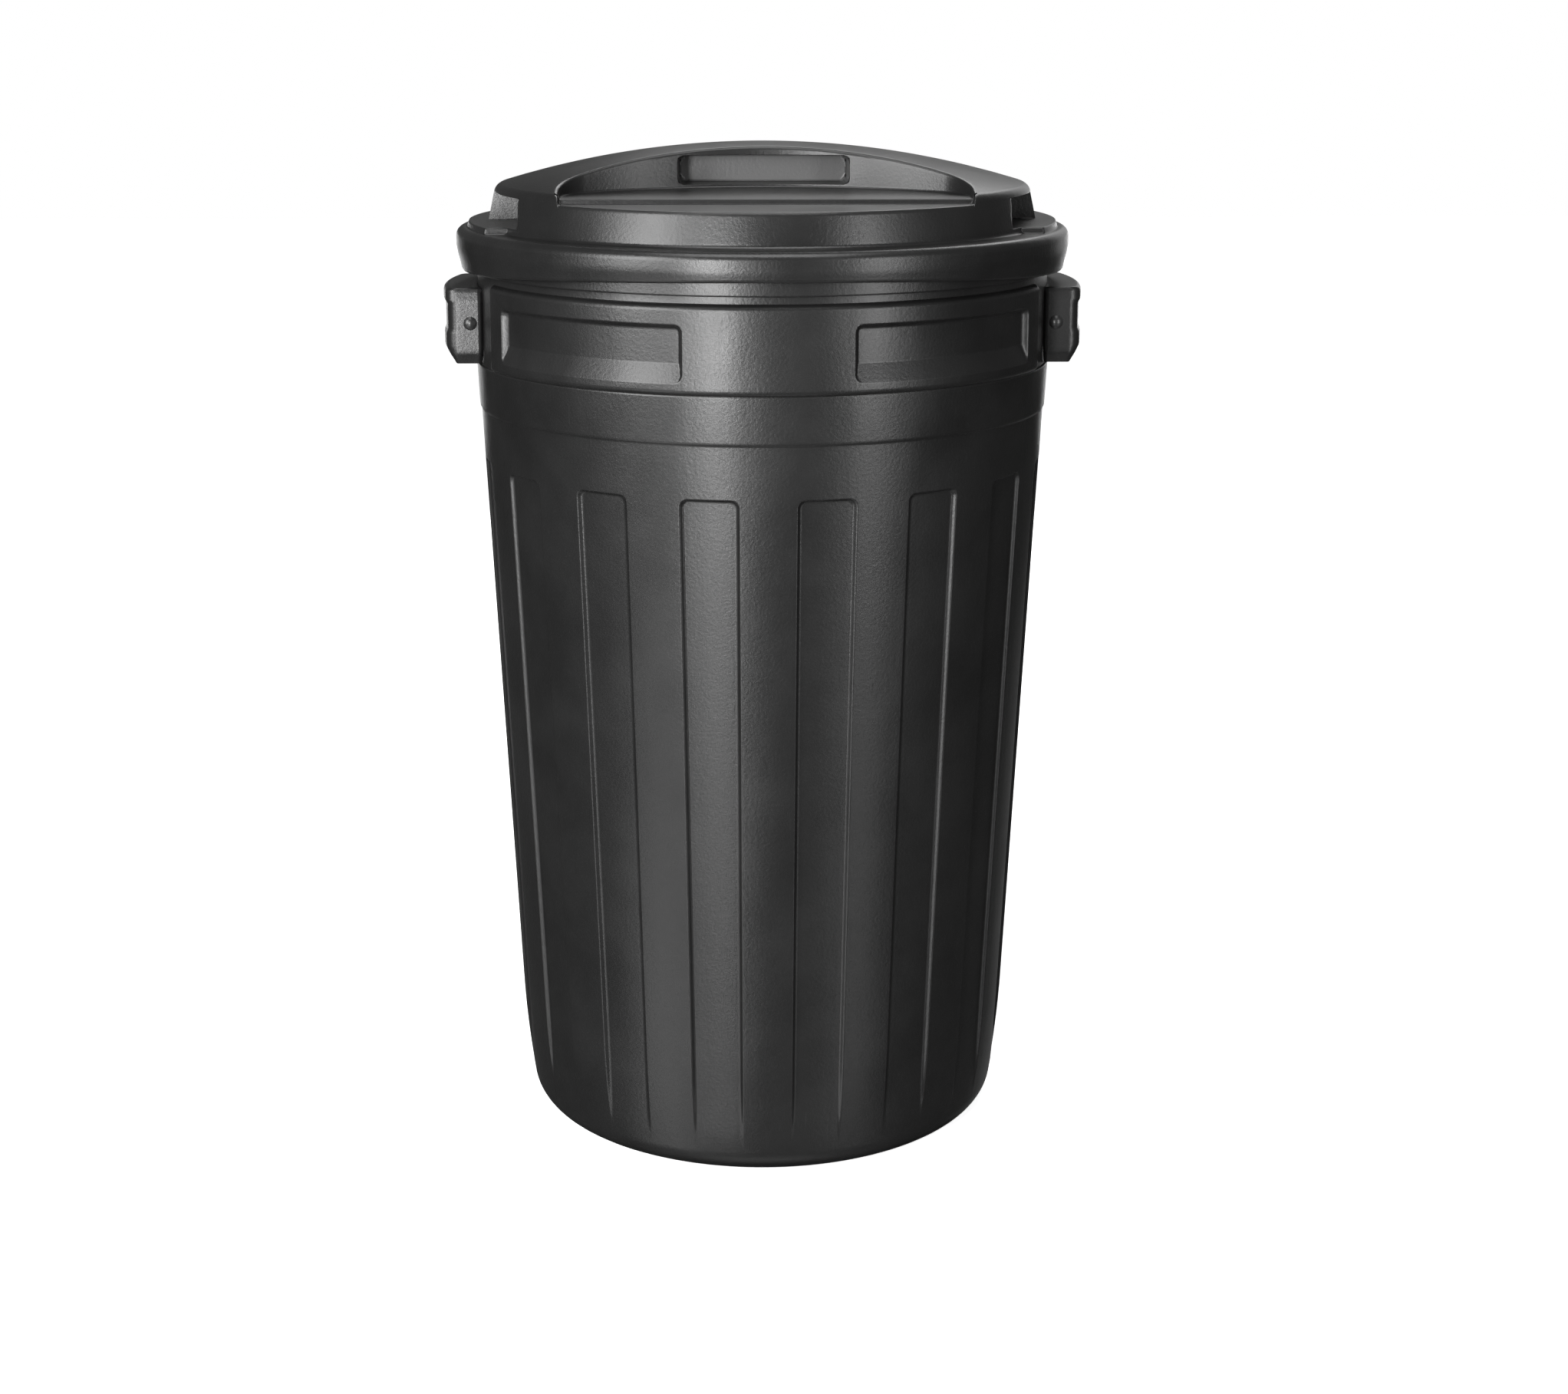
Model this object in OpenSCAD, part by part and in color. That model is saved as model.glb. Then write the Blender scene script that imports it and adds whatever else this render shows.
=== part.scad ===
// Plastic waste bin with lid: a tapered, fluted tub with a belted collar,
// a lift-off domed lid with a scooped bar grip, and two pinned side handles.
// Units are millimetres. The origin is the centre of the base on the floor,
// Z points up, the front of the bin faces -Y and the handles sit at +X and -X.

/* [Tub] */
// height of the rim that the lid rests on
rim_top = 748.8; // [660:0.1:820]
// radius of the plain collar behind the belt and the handles
collar_radius = 233.4; // [200:0.1:260]
// how far the collar is set in from the line of the wall at its foot
collar_set_in = 0.9; // [0:0.1:2]
// growth of the wall radius per millimetre of height
wall_taper = 0.05; // [0.03:0.002:0.08]
// moulded wall thickness of the tub
tub_wall = 3.0; // [2:0.1:4.5]
// thickness of the tub floor
tub_floor = 3.6; // [2.5:0.1:6]
// radius of the rounded corner between floor and wall
corner_radius = 26.0; // [15:1:40]
// height below which the wall curves in towards the base
foot_curve_height = 104.0; // [60:1:130]
// radius of that slow curve
foot_curve_radius = 800.0; // [500:10:1200]
// inner radius of the ring that the tub stands on
stand_radius = 144.0; // [120:1:150]
// lift of the middle of the floor above the standing ring
floor_lift = 6.0; // [3:0.5:12]
// number of stiffening ribs under the floor
rib_count = 8; // [4:1:12]
// thickness of a rib under the floor
rib_width = 2.4; // [1.6:0.1:4]
// outer radius of the hub ring in the middle of the ribs
hub_radius = 18.0; // [12:1:30]

/* [Flutes] */
// number of recessed flutes around the tub
flute_count = 16; // [8:2:24]
// width of one flute seen from the axis, in degrees
flute_angle = 11.6; // [7:0.2:14]
// depth of a flute
flute_depth = 3.0; // [1.5:0.1:5]
// height of the plain wall between the flutes and the step ring
flute_gap = 41.2; // [25:0.1:60]
// corner radius at the top of a flute
flute_corner = 7.0; // [3:0.5:12]

/* [Collar] */
// height of the step ring under the belt
step_height = 37.7; // [20:0.1:50]
// how far the step ring stands proud of the wall
step_proud = 1.4; // [0.8:0.1:2.5]
// height of the belt
belt_height = 68.8; // [50:0.1:80]
// how far the belt stands proud of the plain collar
belt_proud = 5.5; // [3:0.1:8]
// rounding of the belt edges
belt_round = 5.0; // [2:0.5:6]
// half the arc covered by the belt at the front and at the back
belt_half_angle = 66.0; // [62:1:68]
// neck between the belt and the turned-over rim
belt_gap = 6.0; // [3:0.5:12]
// where a belt panel starts, measured from the front
panel_start = 15.6; // [10:0.2:24]
// where a belt panel ends, measured from the front
panel_end = 58.8; // [50:0.2:60]
// height of the belt left below a panel
panel_foot = 9.3; // [7:0.1:16]
// height of the belt left above a panel
panel_head = 14.7; // [8:0.1:18]
// corner radius of a panel
panel_corner = 7.0; // [3:0.5:10]
// rise of the sloped lower wall of a panel
panel_slope = 14.7; // [6:0.1:18]

/* [Rim] */
// how far the turned-over rim stands proud of the collar
rim_proud = 5.6; // [4:0.1:9]
// height of the turned-over rim
rim_depth = 31.1; // [20:0.1:34]

/* [Lid] */
// how far the lid reaches out over the rim
lid_overhang = 11.0; // [9:0.5:16]
// moulded wall thickness of the lid
lid_wall = 2.8; // [2:0.1:3.4]
// radius of the rolled outer edge
roll_radius = 7.0; // [5:0.5:9]
// depth of the skirt at the two sides
skirt_side_depth = 34.3; // [28:0.1:38]
// depth of the skirt at the front and back, where it arches up
skirt_front_depth = 18.5; // [16.5:0.5:24]
// width of the flange from the crown wall to the outside
flange_width = 25.4; // [20:0.1:30]
// height of the edge between crown wall and dome above the flange
crown_height = 27.2; // [22:0.1:32]
// inward lean of the crown wall over that height
crown_lean = 5.9; // [3:0.1:8]
// height of the middle of the dome above that edge
dome_rise = 38.9; // [34:0.1:46]
// radius of the dome sphere
dome_radius = 880.0; // [700:10:1100]
// rounding between crown wall and dome
shoulder_radius = 12.0; // [8:0.5:15]
// depth of the ring under the lid that centres it in the tub
plug_depth = 16.0; // [10:0.5:24]
// thickness of that ring
plug_wall = 2.4; // [1.6:0.1:3.2]

/* [Lid grip] */
// half width of each scoop beside the bar grip
scoop_half_width = 159.0; // [150:1:162]
// distance from the middle of the lid to the scoop wall
scoop_back = 45.0; // [40:1:55]
// radius of the curved scoop wall in plan
scoop_arc = 250.0; // [220:5:300]
// corner radius of the scoop in plan
scoop_corner = 42.0; // [30:1:55]
// distance from the middle of the lid to the front edge of the scoop floor
scoop_front = 140.0; // [120:1:160]
// rise of the scoop floor from its front edge to its back
scoop_rise = 5.0; // [2:0.5:7]
// half width of the finger pocket under the bar grip
pocket_half_width = 68.5; // [60:0.5:75]
// height of the finger pocket's lower edge above the crown edge
pocket_lift = 7.9; // [7:0.1:12]
// height of the finger pocket
pocket_height = 21.7; // [18:0.1:24]
// distance from the middle of the lid to the back of the finger pocket
pocket_back = 22.0; // [18:0.5:28]
// corner radius of the finger pocket
pocket_corner = 7.0; // [4:0.5:9]

/* [Lid sides] */
// half length of the pair of side recesses in the crown wall
side_half_length = 112.0; // [100:1:114]
// greatest depth of a side recess
side_cut = 32.0; // [24:0.5:36]
// half width of the rib that divides each pair of side recesses
side_rib_half = 12.0; // [8:0.5:18]
// height of the raised pad on the flange beside the recesses
pad_height = 4.7; // [3:0.1:6]

/* [Side handles] */
// reach of a handle out from the collar
handle_reach = 27.8; // [24:0.1:34]
// half length of a handle
handle_half_length = 60.0; // [56:0.5:64]
// drop from the top of the belt to the top of a handle
handle_drop = 6.5; // [3:0.5:10]
// rise from the bottom of the belt to the lower edge of a handle
handle_rise = 1.0; // [0.5:0.5:6]
// vertical corner radius of a handle
handle_corner = 10.0; // [8:0.5:12]
// wall thickness of a handle
handle_wall = 3.0; // [2.4:0.1:4]
// thickness of a handle's end walls, which the pins go through
handle_end_wall = 6.5; // [5:0.5:9]
// gap between handle and collar
handle_gap = 0.3; // [0.2:0.05:0.6]
// depth of the shallow grip channel around a handle
channel_depth = 1.6; // [0.8:0.1:2.2]
// distance from the lower edge of a handle to its grip channel
channel_foot = 25.0; // [18:0.5:30]
// distance from the top of a handle to its grip channel
channel_head = 10.0; // [8:0.5:16]
// distance of the handle pins from the collar
pin_offset = 2.5; // [1:0.1:5]
// drop from the top of a handle to its pins
pin_drop = 28.2; // [22:0.2:32]
// diameter of a handle pin
pin_diameter = 7.0; // [6:0.2:8]
// length of a handle pin inside its holes
pin_length = 15.5; // [13:0.5:16]
// radial clearance of a handle pin in its holes
pin_clearance = 0.1; // [0.05:0.01:0.2]
// diameter of a pin head
pin_head = 11.0; // [10:0.5:13]
// height of the dome of a pin head
pin_head_rise = 2.6; // [1.8:0.1:3.4]

/* [Hidden] */
$fa = 3;
$fs = 1.2;
eps = 0.01;
plastic = "#24262a";
pin_plastic = "#2e3034";
wall_norm = sqrt(1 + wall_taper * wall_taper);
rim_bottom = rim_top - rim_depth;
belt_top = rim_bottom - belt_gap;
belt_bottom = belt_top - belt_height;
collar_bottom = belt_bottom - step_height;
flute_top = collar_bottom - flute_gap;
panel_bottom = belt_bottom + panel_foot;
panel_top = belt_top - panel_head;
base_radius = collar_radius + collar_set_in - wall_taper * belt_bottom;
belt_radius = collar_radius + belt_proud;
collar_inner = collar_radius - tub_wall;
rim_radius = collar_radius + rim_proud;
bend_r = base_radius + wall_taper * foot_curve_height;
bend_cx = bend_r - foot_curve_radius / wall_norm;
bend_cz = foot_curve_height + foot_curve_radius * wall_taper / wall_norm;
corner_span = foot_curve_radius - corner_radius;
corner_cx = bend_cx + sqrt(corner_span * corner_span - pow(corner_radius - bend_cz, 2));
bend_ux = (corner_cx - bend_cx) / corner_span;
bend_uz = (corner_radius - bend_cz) / corner_span;
lid_radius = rim_radius + lid_overhang;
flange_top = rim_top + lid_wall;
skirt_bottom = flange_top - skirt_side_depth;
skirt_arch = flange_top - skirt_front_depth;
arch_drop = skirt_arch - skirt_bottom;
arch_radius = (pow(lid_radius - 4, 2) + arch_drop * arch_drop) / (2 * arch_drop);
crown_foot_radius = lid_radius - flange_width;
crown_edge = flange_top + crown_height;
crown_slope = crown_lean / crown_height;
crown_norm = sqrt(1 + crown_slope * crown_slope);
dome_top = crown_edge + dome_rise;
dome_cz = dome_top - dome_radius;
scoop_cy = -(scoop_back + scoop_arc);
scoop_fx = scoop_half_width - scoop_corner;
scoop_span = scoop_arc - scoop_corner;
scoop_fy = scoop_cy + sqrt(scoop_span * scoop_span - scoop_fx * scoop_fx);
scoop_tx = scoop_fx * scoop_arc / scoop_span;
scoop_ty = scoop_cy + (scoop_fy - scoop_cy) * scoop_arc / scoop_span;
shelf_front = -scoop_front;
shelf_z = crown_edge + 0.4;
pocket_bottom = crown_edge + pocket_lift;
pocket_top = pocket_bottom + pocket_height;
side_depth = crown_foot_radius - side_cut;
seat_z = flange_top + pad_height;
handle_radius = collar_radius + handle_reach;
handle_top = belt_top - handle_drop;
handle_bottom = belt_bottom + handle_rise;
handle_corner_cx = sqrt(pow(handle_radius - handle_corner, 2) - pow(handle_half_length - handle_corner, 2));
handle_corner_cy = handle_half_length - handle_corner;
ear_outer = handle_half_length - handle_end_wall;
ear_length = 13;
pin_axis_radius = collar_radius + pin_offset;
pin_height = handle_top - pin_drop;
pin_bore = pin_diameter + 2 * pin_clearance;

function wall_r(z) = base_radius + wall_taper * z;

// tub wall and floor

// Region enclosed by the tapered wall, moved inwards by t.
module wall_plan(t, top) {
    kx = corner_cx;
    kz = corner_radius;
    tx = bend_cx + (foot_curve_radius - t) * bend_ux;
    tz = bend_cz + (foot_curve_radius - t) * bend_uz;
    px = bend_r - t / wall_norm;
    pz = foot_curve_height + t * wall_taper / wall_norm;
    polygon([[0, t], [kx, t], [kx, kz], [tx, tz], [px, pz], [wall_r(top) - t * wall_norm, top], [0, top]]);
    translate([kx, kz])
        circle(r = corner_radius - t, $fn = 96);
    intersection() {
        translate([bend_cx, bend_cz])
            circle(r = foot_curve_radius - t, $fn = 1440);
        polygon([[0, tz], [kx + 2 * corner_radius, tz], [px + 60, pz], [0, pz]]);
    }
}

// Half section of the collar: step, plain collar and turned-over rim.
module collar_section() {
    w = tub_wall;
    polygon([
        [collar_inner - 6, collar_bottom], [wall_r(collar_bottom) - 0.6, collar_bottom],
        [wall_r(collar_bottom) + step_proud, collar_bottom + 2.2],
        [wall_r(belt_bottom) + step_proud - 0.2, belt_bottom], [collar_radius, belt_bottom + 1],
        [collar_radius, rim_top - 2 * w], [collar_inner - 6, rim_top - 2 * w]
    ]);
    translate([collar_inner - 6, rim_top - 2 * w])
        square([rim_radius - w - collar_inner + 6, 2 * w]);
    translate([collar_radius, rim_top - 2 * w])
        square([rim_radius - collar_radius, w]);
    translate([rim_radius - w, rim_bottom + 0.4 * w])
        square([w, rim_depth - 1.4 * w]);
    translate([rim_radius - w / 2, rim_bottom + w / 2])
        circle(r = w / 2, $fn = 32);
    intersection() {
        translate([rim_radius - w, rim_top - w])
            circle(r = w, $fn = 48);
        translate([rim_radius - 2 * w, rim_top - 2 * w])
            square([2 * w, 2 * w]);
    }
}

// Radial prism for one flute, grown by g on every side.
module flute_prism(g) {
    half_top = wall_r(flute_top) * sin(flute_angle / 2) + g;
    half_low = base_radius * sin(flute_angle / 2) + g;
    lean = (half_top - half_low) / flute_top;
    cz = flute_top + g - flute_corner - g;
    cx = half_top - lean * flute_corner - (flute_corner + g);
    translate([0, -150, 0])
        rotate([90, 0, 0])
            linear_extrude(height = 110) {
                polygon([
                    [-half_low + lean * 20, -20], [half_low - lean * 20, -20],
                    [cx + flute_corner + g, cz], [cx, cz], [cx, flute_top + g],
                    [-cx, flute_top + g], [-cx, cz], [-cx - flute_corner - g, cz]
                ]);
                for (s = [-1, 1])
                    translate([s * cx, cz])
                        circle(r = flute_corner + g, $fn = 48);
            }
}

// All flutes, cut back to the flute floor; t thickens the floor and the sides.
module flutes(t) {
    difference() {
        for (i = [0 : flute_count - 1])
            rotate([0, 0, (i + 0.5) * 360 / flute_count])
                flute_prism(t);
        translate([0, 0, -30])
            cylinder(
                r1 = wall_r(-30) - (flute_depth + t) * wall_norm,
                r2 = wall_r(flute_top + 40) - (flute_depth + t) * wall_norm,
                h = flute_top + 70, $fn = 360);
    }
}

// Space inside the tub above its floor.
module tub_inside() {
    difference() {
        rotate_extrude($fn = 360) {
            intersection() {
                wall_plan(tub_wall, collar_bottom + 1);
                translate([0, tub_floor])
                    square([400, collar_bottom]);
            }
            polygon([
                [0, collar_bottom], [wall_r(collar_bottom) - tub_wall * wall_norm, collar_bottom],
                [collar_inner, collar_bottom + 8], [collar_inner, rim_top + 1], [0, rim_top + 1]
            ]);
        }
        flutes(tub_wall);
        cylinder(r = stand_radius + tub_wall, h = floor_lift + tub_floor, $fn = 240);
        translate([0, 0, floor_lift + tub_floor - eps])
            cylinder(r = 14, h = 1.2 + eps, $fn = 64);
    }
}

// Rounded window through the belt, cut along the direction of its middle.
module panel_window(middle) {
    r = panel_corner;
    half = belt_radius * sin((panel_end - panel_start) / 2);
    rotate([0, 0, middle])
        translate([collar_radius - 40, 0, 0])
            rotate([90, 0, 90])
                linear_extrude(height = 80) {
                    translate([-half + r, panel_bottom])
                        square([2 * (half - r), panel_top - panel_bottom]);
                    translate([-half, panel_bottom + r])
                        square([2 * half, panel_top - panel_bottom - 2 * r]);
                    for (x = [-half + r, half - r])
                        for (z = [panel_bottom + r, panel_top - r])
                            translate([x, z])
                                circle(r = r, $fn = 48);
                }
}

// Half section of the belt with rounded outer edges.
module belt_section() {
    inner = collar_radius - 1;
    translate([inner, belt_bottom])
        square([belt_radius - belt_round - inner, belt_top - belt_bottom]);
    translate([inner, belt_bottom + belt_round])
        square([belt_radius - inner, belt_top - belt_bottom - 2 * belt_round]);
    for (z = [belt_bottom + belt_round, belt_top - belt_round])
        intersection() {
            translate([belt_radius - belt_round, z])
                circle(r = belt_round, $fn = 64);
            translate([inner, z - 2 * belt_round])
                square([20, 4 * belt_round]);
        }
}

// Belt over the front half of the collar with its two panels.
module belt_half() {
    panel_middle = (panel_start + panel_end) / 2;
    difference() {
        rotate([0, 0, -90 - belt_half_angle])
            rotate_extrude(angle = 2 * belt_half_angle, $fn = 360)
                belt_section();
        for (s = [-1, 1])
            intersection() {
                panel_window(-90 + s * panel_middle);
                rotate_extrude($fn = 360)
                    polygon([
                        [collar_radius + 0.3, panel_top + 1], [belt_radius + 6, panel_top + 1],
                        [belt_radius + 6, panel_bottom - 1], [belt_radius, panel_bottom],
                        [collar_radius + 0.3, panel_bottom + panel_slope]
                    ]);
            }
        for (c = [-90 - 10.5, -90 + 0.7])
            rotate([0, 0, c])
                rotate_extrude(angle = 9.8, $fn = 360)
                    translate([collar_radius - 0.2, belt_bottom - 2])
                        square([2.8, belt_top - belt_bottom - 2]);
    }
}

// Ear on the collar that takes one handle pin.
module pin_ear() {
    difference() {
        union() {
            translate([collar_inner - 4, ear_outer - ear_length, pin_height - 10])
                cube([pin_axis_radius - collar_inner + 4, ear_length, 20]);
            translate([pin_axis_radius, ear_outer, pin_height])
                rotate([90, 0, 0])
                    cylinder(r = 10, h = ear_length, $fn = 72);
        }
        translate([0, 0, pin_height - 12])
            cylinder(r = collar_radius - 1, h = 24, $fn = 360);
        translate([pin_axis_radius, ear_outer + 1, pin_height])
            rotate([90, 0, 0])
                cylinder(d = pin_bore, h = pin_length - handle_end_wall + 1.5, $fn = 48);
    }
}

module tub() {
    color(plastic) {
        difference() {
            rotate_extrude($fn = 360) {
                wall_plan(0, collar_bottom + 2);
                collar_section();
                translate([0, collar_bottom])
                    square([collar_radius - 1, rim_top - collar_bottom]);
            }
            flutes(0);
            tub_inside();
            translate([0, 0, -1])
                cylinder(r = stand_radius, h = 1 + floor_lift, $fn = 240);
        }
        for (i = [0 : rib_count - 1])
            rotate([0, 0, i * 360 / rib_count])
                translate([hub_radius - 2, -rib_width / 2, 1.5])
                    cube([stand_radius - hub_radius + 4, rib_width, floor_lift]);
        difference() {
            translate([0, 0, 1.5])
                cylinder(r = hub_radius, h = floor_lift, $fn = 96);
            cylinder(r = hub_radius - 3, h = floor_lift, $fn = 96);
        }
        belt_half();
        rotate([0, 0, 180])
            belt_half();
        for (s = [0, 180])
            rotate([0, 0, s])
                for (m = [0, 1])
                    mirror([0, m, 0])
                        pin_ear();
    }
}

// lid

// Half section of the solid crown, moved inwards by t.
module crown_plan(t) {
    z0 = flange_top - 30;
    foot_r = crown_foot_radius - t * crown_norm;
    s = crown_slope;
    a = 1 + s * s;
    k = foot_r + s * flange_top - (shoulder_radius - t) * crown_norm;
    b = -2 * (s * k + dome_cz);
    c = k * k + dome_cz * dome_cz - pow(dome_radius - shoulder_radius, 2);
    fz = (-b + sqrt(b * b - 4 * a * c)) / (2 * a);
    fr = k - s * fz;
    ux = fr / (dome_radius - shoulder_radius);
    uz = (fz - dome_cz) / (dome_radius - shoulder_radius);
    dx = (dome_radius - t) * ux;
    dz = dome_cz + (dome_radius - t) * uz;
    wx = fr + (shoulder_radius - t) / crown_norm;
    wz = fz + (shoulder_radius - t) * s / crown_norm;
    polygon([[0, z0], [foot_r + s * 30, z0], [wx, wz], [fr, fz], [dx, dz], [0, dz]]);
    translate([fr, fz])
        intersection() {
            circle(r = shoulder_radius - t, $fn = 96);
            translate([-1, -1])
                square(2 * shoulder_radius);
        }
    intersection() {
        translate([0, dome_cz])
            circle(r = dome_radius - t, $fn = 1440);
        polygon([[0, fz - 5], [fr, fz], [dx + 10 * ux, dz + 10 * uz], [0, dz + 60]]);
    }
}

// Plan of one scoop behind its front edge, grown by g.
module scoop_outline(g) {
    intersection() {
        translate([0, scoop_cy])
            circle(r = scoop_arc + g, $fn = 720);
        polygon([
            [0, scoop_cy], [scoop_tx * 2, scoop_cy + (scoop_ty - scoop_cy) * 2],
            [-scoop_tx * 2, scoop_cy + (scoop_ty - scoop_cy) * 2]
        ]);
    }
    for (s = [-1, 1])
        translate([s * scoop_fx, scoop_fy])
            circle(r = scoop_corner + g, $fn = 120);
    polygon([
        [-scoop_fx, -300], [scoop_fx, -300], [scoop_fx, scoop_fy],
        [0, scoop_cy + 20], [-scoop_fx, scoop_fy]
    ]);
    translate([-scoop_half_width - g, -300])
        square([2 * (scoop_half_width + g), 300 + scoop_fy]);
}

// Material removed for one scoop; t moves walls out and the floor down.
module scoop(t) {
    lean = atan(scoop_rise / (-shelf_front - scoop_back));
    intersection() {
        translate([0, 0, crown_edge - 30])
            linear_extrude(height = 90)
                scoop_outline(t);
        union() {
            translate([0, shelf_front, shelf_z - t])
                rotate([lean, 0, 0])
                    translate([-300, 0, 0])
                        cube([600, 300, 90]);
            translate([-300, shelf_front - 300, crown_edge - 0.6 - t])
                cube([600, 300 + t, 90]);
            translate([-300, shelf_front - 1, shelf_z + 3])
                cube([600, 20, 90]);
        }
    }
    intersection() {
        translate([0, -pocket_back + t, 0])
            rotate([90, 0, 0])
                linear_extrude(height = 60)
                    pocket_outline(t);
        translate([-200, -scoop_back - 45, crown_edge])
            cube([400, scoop_back + 45, 60]);
    }
}

// Rounded finger pocket seen from the front, grown by g.
module pocket_outline(g) {
    r = pocket_corner;
    w = pocket_half_width + g;
    z1 = pocket_bottom - g;
    z2 = pocket_top + g;
    translate([-w + r, z1])
        square([2 * (w - r), z2 - z1]);
    translate([-w, z1 + r])
        square([2 * w, z2 - z1 - 2 * r]);
    for (x = [-w + r, w - r])
        for (z = [z1 + r, z2 - r])
            translate([x, z])
                circle(r = r, $fn = 48);
}

// Side recesses in the crown wall; t thickens them into a housing.
module side_recesses(t) {
    for (s = [0, 180])
        rotate([0, 0, s])
            for (m = [0, 1])
                mirror([0, m, 0])
                    translate([side_depth - t, side_rib_half - t, seat_z - t])
                        cube([60, side_half_length - side_rib_half + 2 * t, crown_edge - 1.6 - seat_z + 2 * t]);
}

// Flange, rolled edge and skirt, with the arched lower edge.
module flange() {
    difference() {
        rotate_extrude($fn = 360)
            difference() {
                union() {
                    translate([crown_foot_radius - 8, flange_top - lid_wall])
                        square([lid_radius - roll_radius - crown_foot_radius + 8, lid_wall]);
                    translate([lid_radius - roll_radius, flange_top - roll_radius])
                        intersection() {
                            circle(r = roll_radius, $fn = 96);
                            square(roll_radius);
                        }
                    polygon([
                        [lid_radius - roll_radius, flange_top - roll_radius],
                        [lid_radius, flange_top - roll_radius], [lid_radius, flange_top - 16],
                        [lid_radius - 4.5, skirt_bottom], [lid_radius - 4.5 - lid_wall, skirt_bottom]
                    ]);
                }
                polygon([
                    [lid_radius - roll_radius, flange_top - roll_radius],
                    [lid_radius - lid_wall, flange_top - roll_radius],
                    [lid_radius - lid_wall, flange_top - 16],
                    [lid_radius - 4.5 - lid_wall, skirt_bottom - 1],
                    [lid_radius - 20, skirt_bottom - 1], [lid_radius - 20, flange_top - roll_radius]
                ]);
                translate([lid_radius - roll_radius, flange_top - roll_radius])
                    circle(r = roll_radius - lid_wall, $fn = 64);
            }
        translate([0, 300, skirt_arch - arch_radius])
            rotate([90, 0, 0])
                cylinder(r = arch_radius, h = 600, $fn = 1440);
    }
}

// Solid that fills the lid outside, before it is hollowed.
module crown_shell() {
    difference() {
        rotate_extrude($fn = 360)
            crown_plan(0);
        for (s = [0, 180])
            rotate([0, 0, s])
                scoop(0);
        side_recesses(0);
        difference() {
            rotate_extrude($fn = 360)
                crown_plan(lid_wall);
            for (s = [0, 180])
                rotate([0, 0, s])
                    scoop(lid_wall);
            side_recesses(lid_wall);
        }
        translate([0, 0, flange_top - 60])
            cylinder(r = 300, h = 60 - lid_wall, $fn = 90);
    }
}

// Raised pads on the flange beside the recesses.
module side_pads() {
    for (s = [0, 180])
        rotate([0, 0, s])
            intersection() {
                translate([side_depth - lid_wall, -side_half_length + 14, flange_top - 1])
                    cube([60, 2 * side_half_length - 28, pad_height + 1]);
                difference() {
                    translate([0, 0, flange_top - 2])
                        cylinder(r1 = lid_radius - 7, r2 = lid_radius - 10, h = pad_height + 2, $fn = 360);
                    translate([0, 0, flange_top - 3])
                        cylinder(r = crown_foot_radius - 12, h = pad_height + 6, $fn = 360);
                }
            }
}

module lid() {
    color(plastic) {
        crown_shell();
        flange();
        side_pads();
        rotate_extrude($fn = 360)
            translate([crown_foot_radius - 2 * plug_wall, flange_top - plug_depth])
                square([plug_wall, plug_depth - lid_wall + 1]);
    }
}

// side handles

// Plan of a handle pointing along +X, moved inwards by t.
module handle_plan(t) {
    r = handle_corner - t;
    cx = handle_corner_cx;
    cy = handle_corner_cy;
    k = handle_radius / (handle_radius - handle_corner);
    intersection() {
        circle(r = handle_radius - t, $fn = 720);
        polygon([[0, 0], [cx * k * 1.2, -cy * k * 1.2], [cx * k * 1.2, cy * k * 1.2]]);
    }
    for (s = [-1, 1])
        translate([cx, s * cy])
            circle(r = r, $fn = 72);
    translate([150, -handle_half_length + t])
        square([cx - 150, 2 * (handle_half_length - t)]);
}

// Outer envelope of a handle: bevelled ends, grip channel, rounded top.
module handle_envelope(t) {
    z1 = handle_bottom;
    z2 = handle_top - t;
    ro = handle_radius - t;
    intersection() {
        translate([0, 0, z1])
            linear_extrude(height = z2 - z1)
                handle_plan(t);
        rotate_extrude($fn = 720)
            union() {
                polygon([
                    [100, z1 - 2], [ro - 5, z1 - 2], [ro - 3.2, z1 + 4], [ro, z1 + 12], [ro, z1 + channel_foot],
                    [ro - channel_depth, z1 + channel_foot + 3],
                    [ro - channel_depth, handle_top - channel_head - 3], [ro, handle_top - channel_head],
                    [ro, handle_top - 4], [ro - 4 + t, handle_top - 4], [ro - 4 + t, z2], [100, z2]
                ]);
                translate([ro - 4 + t, handle_top - 4])
                    circle(r = 4 - t, $fn = 48);
            }
        rotate([90, 0, 90])
            linear_extrude(height = 300)
                polygon([
                    [-handle_half_length + t + 3.4, z1 - 2], [handle_half_length - t - 3.4, z1 - 2],
                    [handle_half_length - t - 3.4, z1 + 3], [handle_half_length - t, z1 + 11],
                    [handle_half_length - t, handle_top - 9], [handle_half_length - t - 2.6, handle_top + 0.4],
                    [-handle_half_length + t + 2.6, handle_top + 0.4], [-handle_half_length + t, handle_top - 9],
                    [-handle_half_length + t, z1 + 11], [-handle_half_length + t + 3.4, z1 + 3]
                ]);
    }
}

module side_handle() {
    color(plastic)
        difference() {
            handle_envelope(0);
            difference() {
                translate([0, 0, -4])
                    handle_envelope(handle_wall);
                for (m = [0, 1])
                    mirror([0, m, 0])
                        translate([200, ear_outer, 400])
                            cube([100, 40, 400]);
            }
            translate([0, 0, handle_bottom - 10])
                cylinder(r = collar_radius + handle_gap, h = 100, $fn = 720);
            translate([pin_axis_radius, handle_half_length + 10, pin_height])
                rotate([90, 0, 0])
                    cylinder(d = pin_bore, h = 2 * handle_half_length + 20, $fn = 48);
        }
}

module handle_right() {
    side_handle();
}

module handle_left() {
    rotate([0, 0, 180])
        side_handle();
}

// pins

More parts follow.
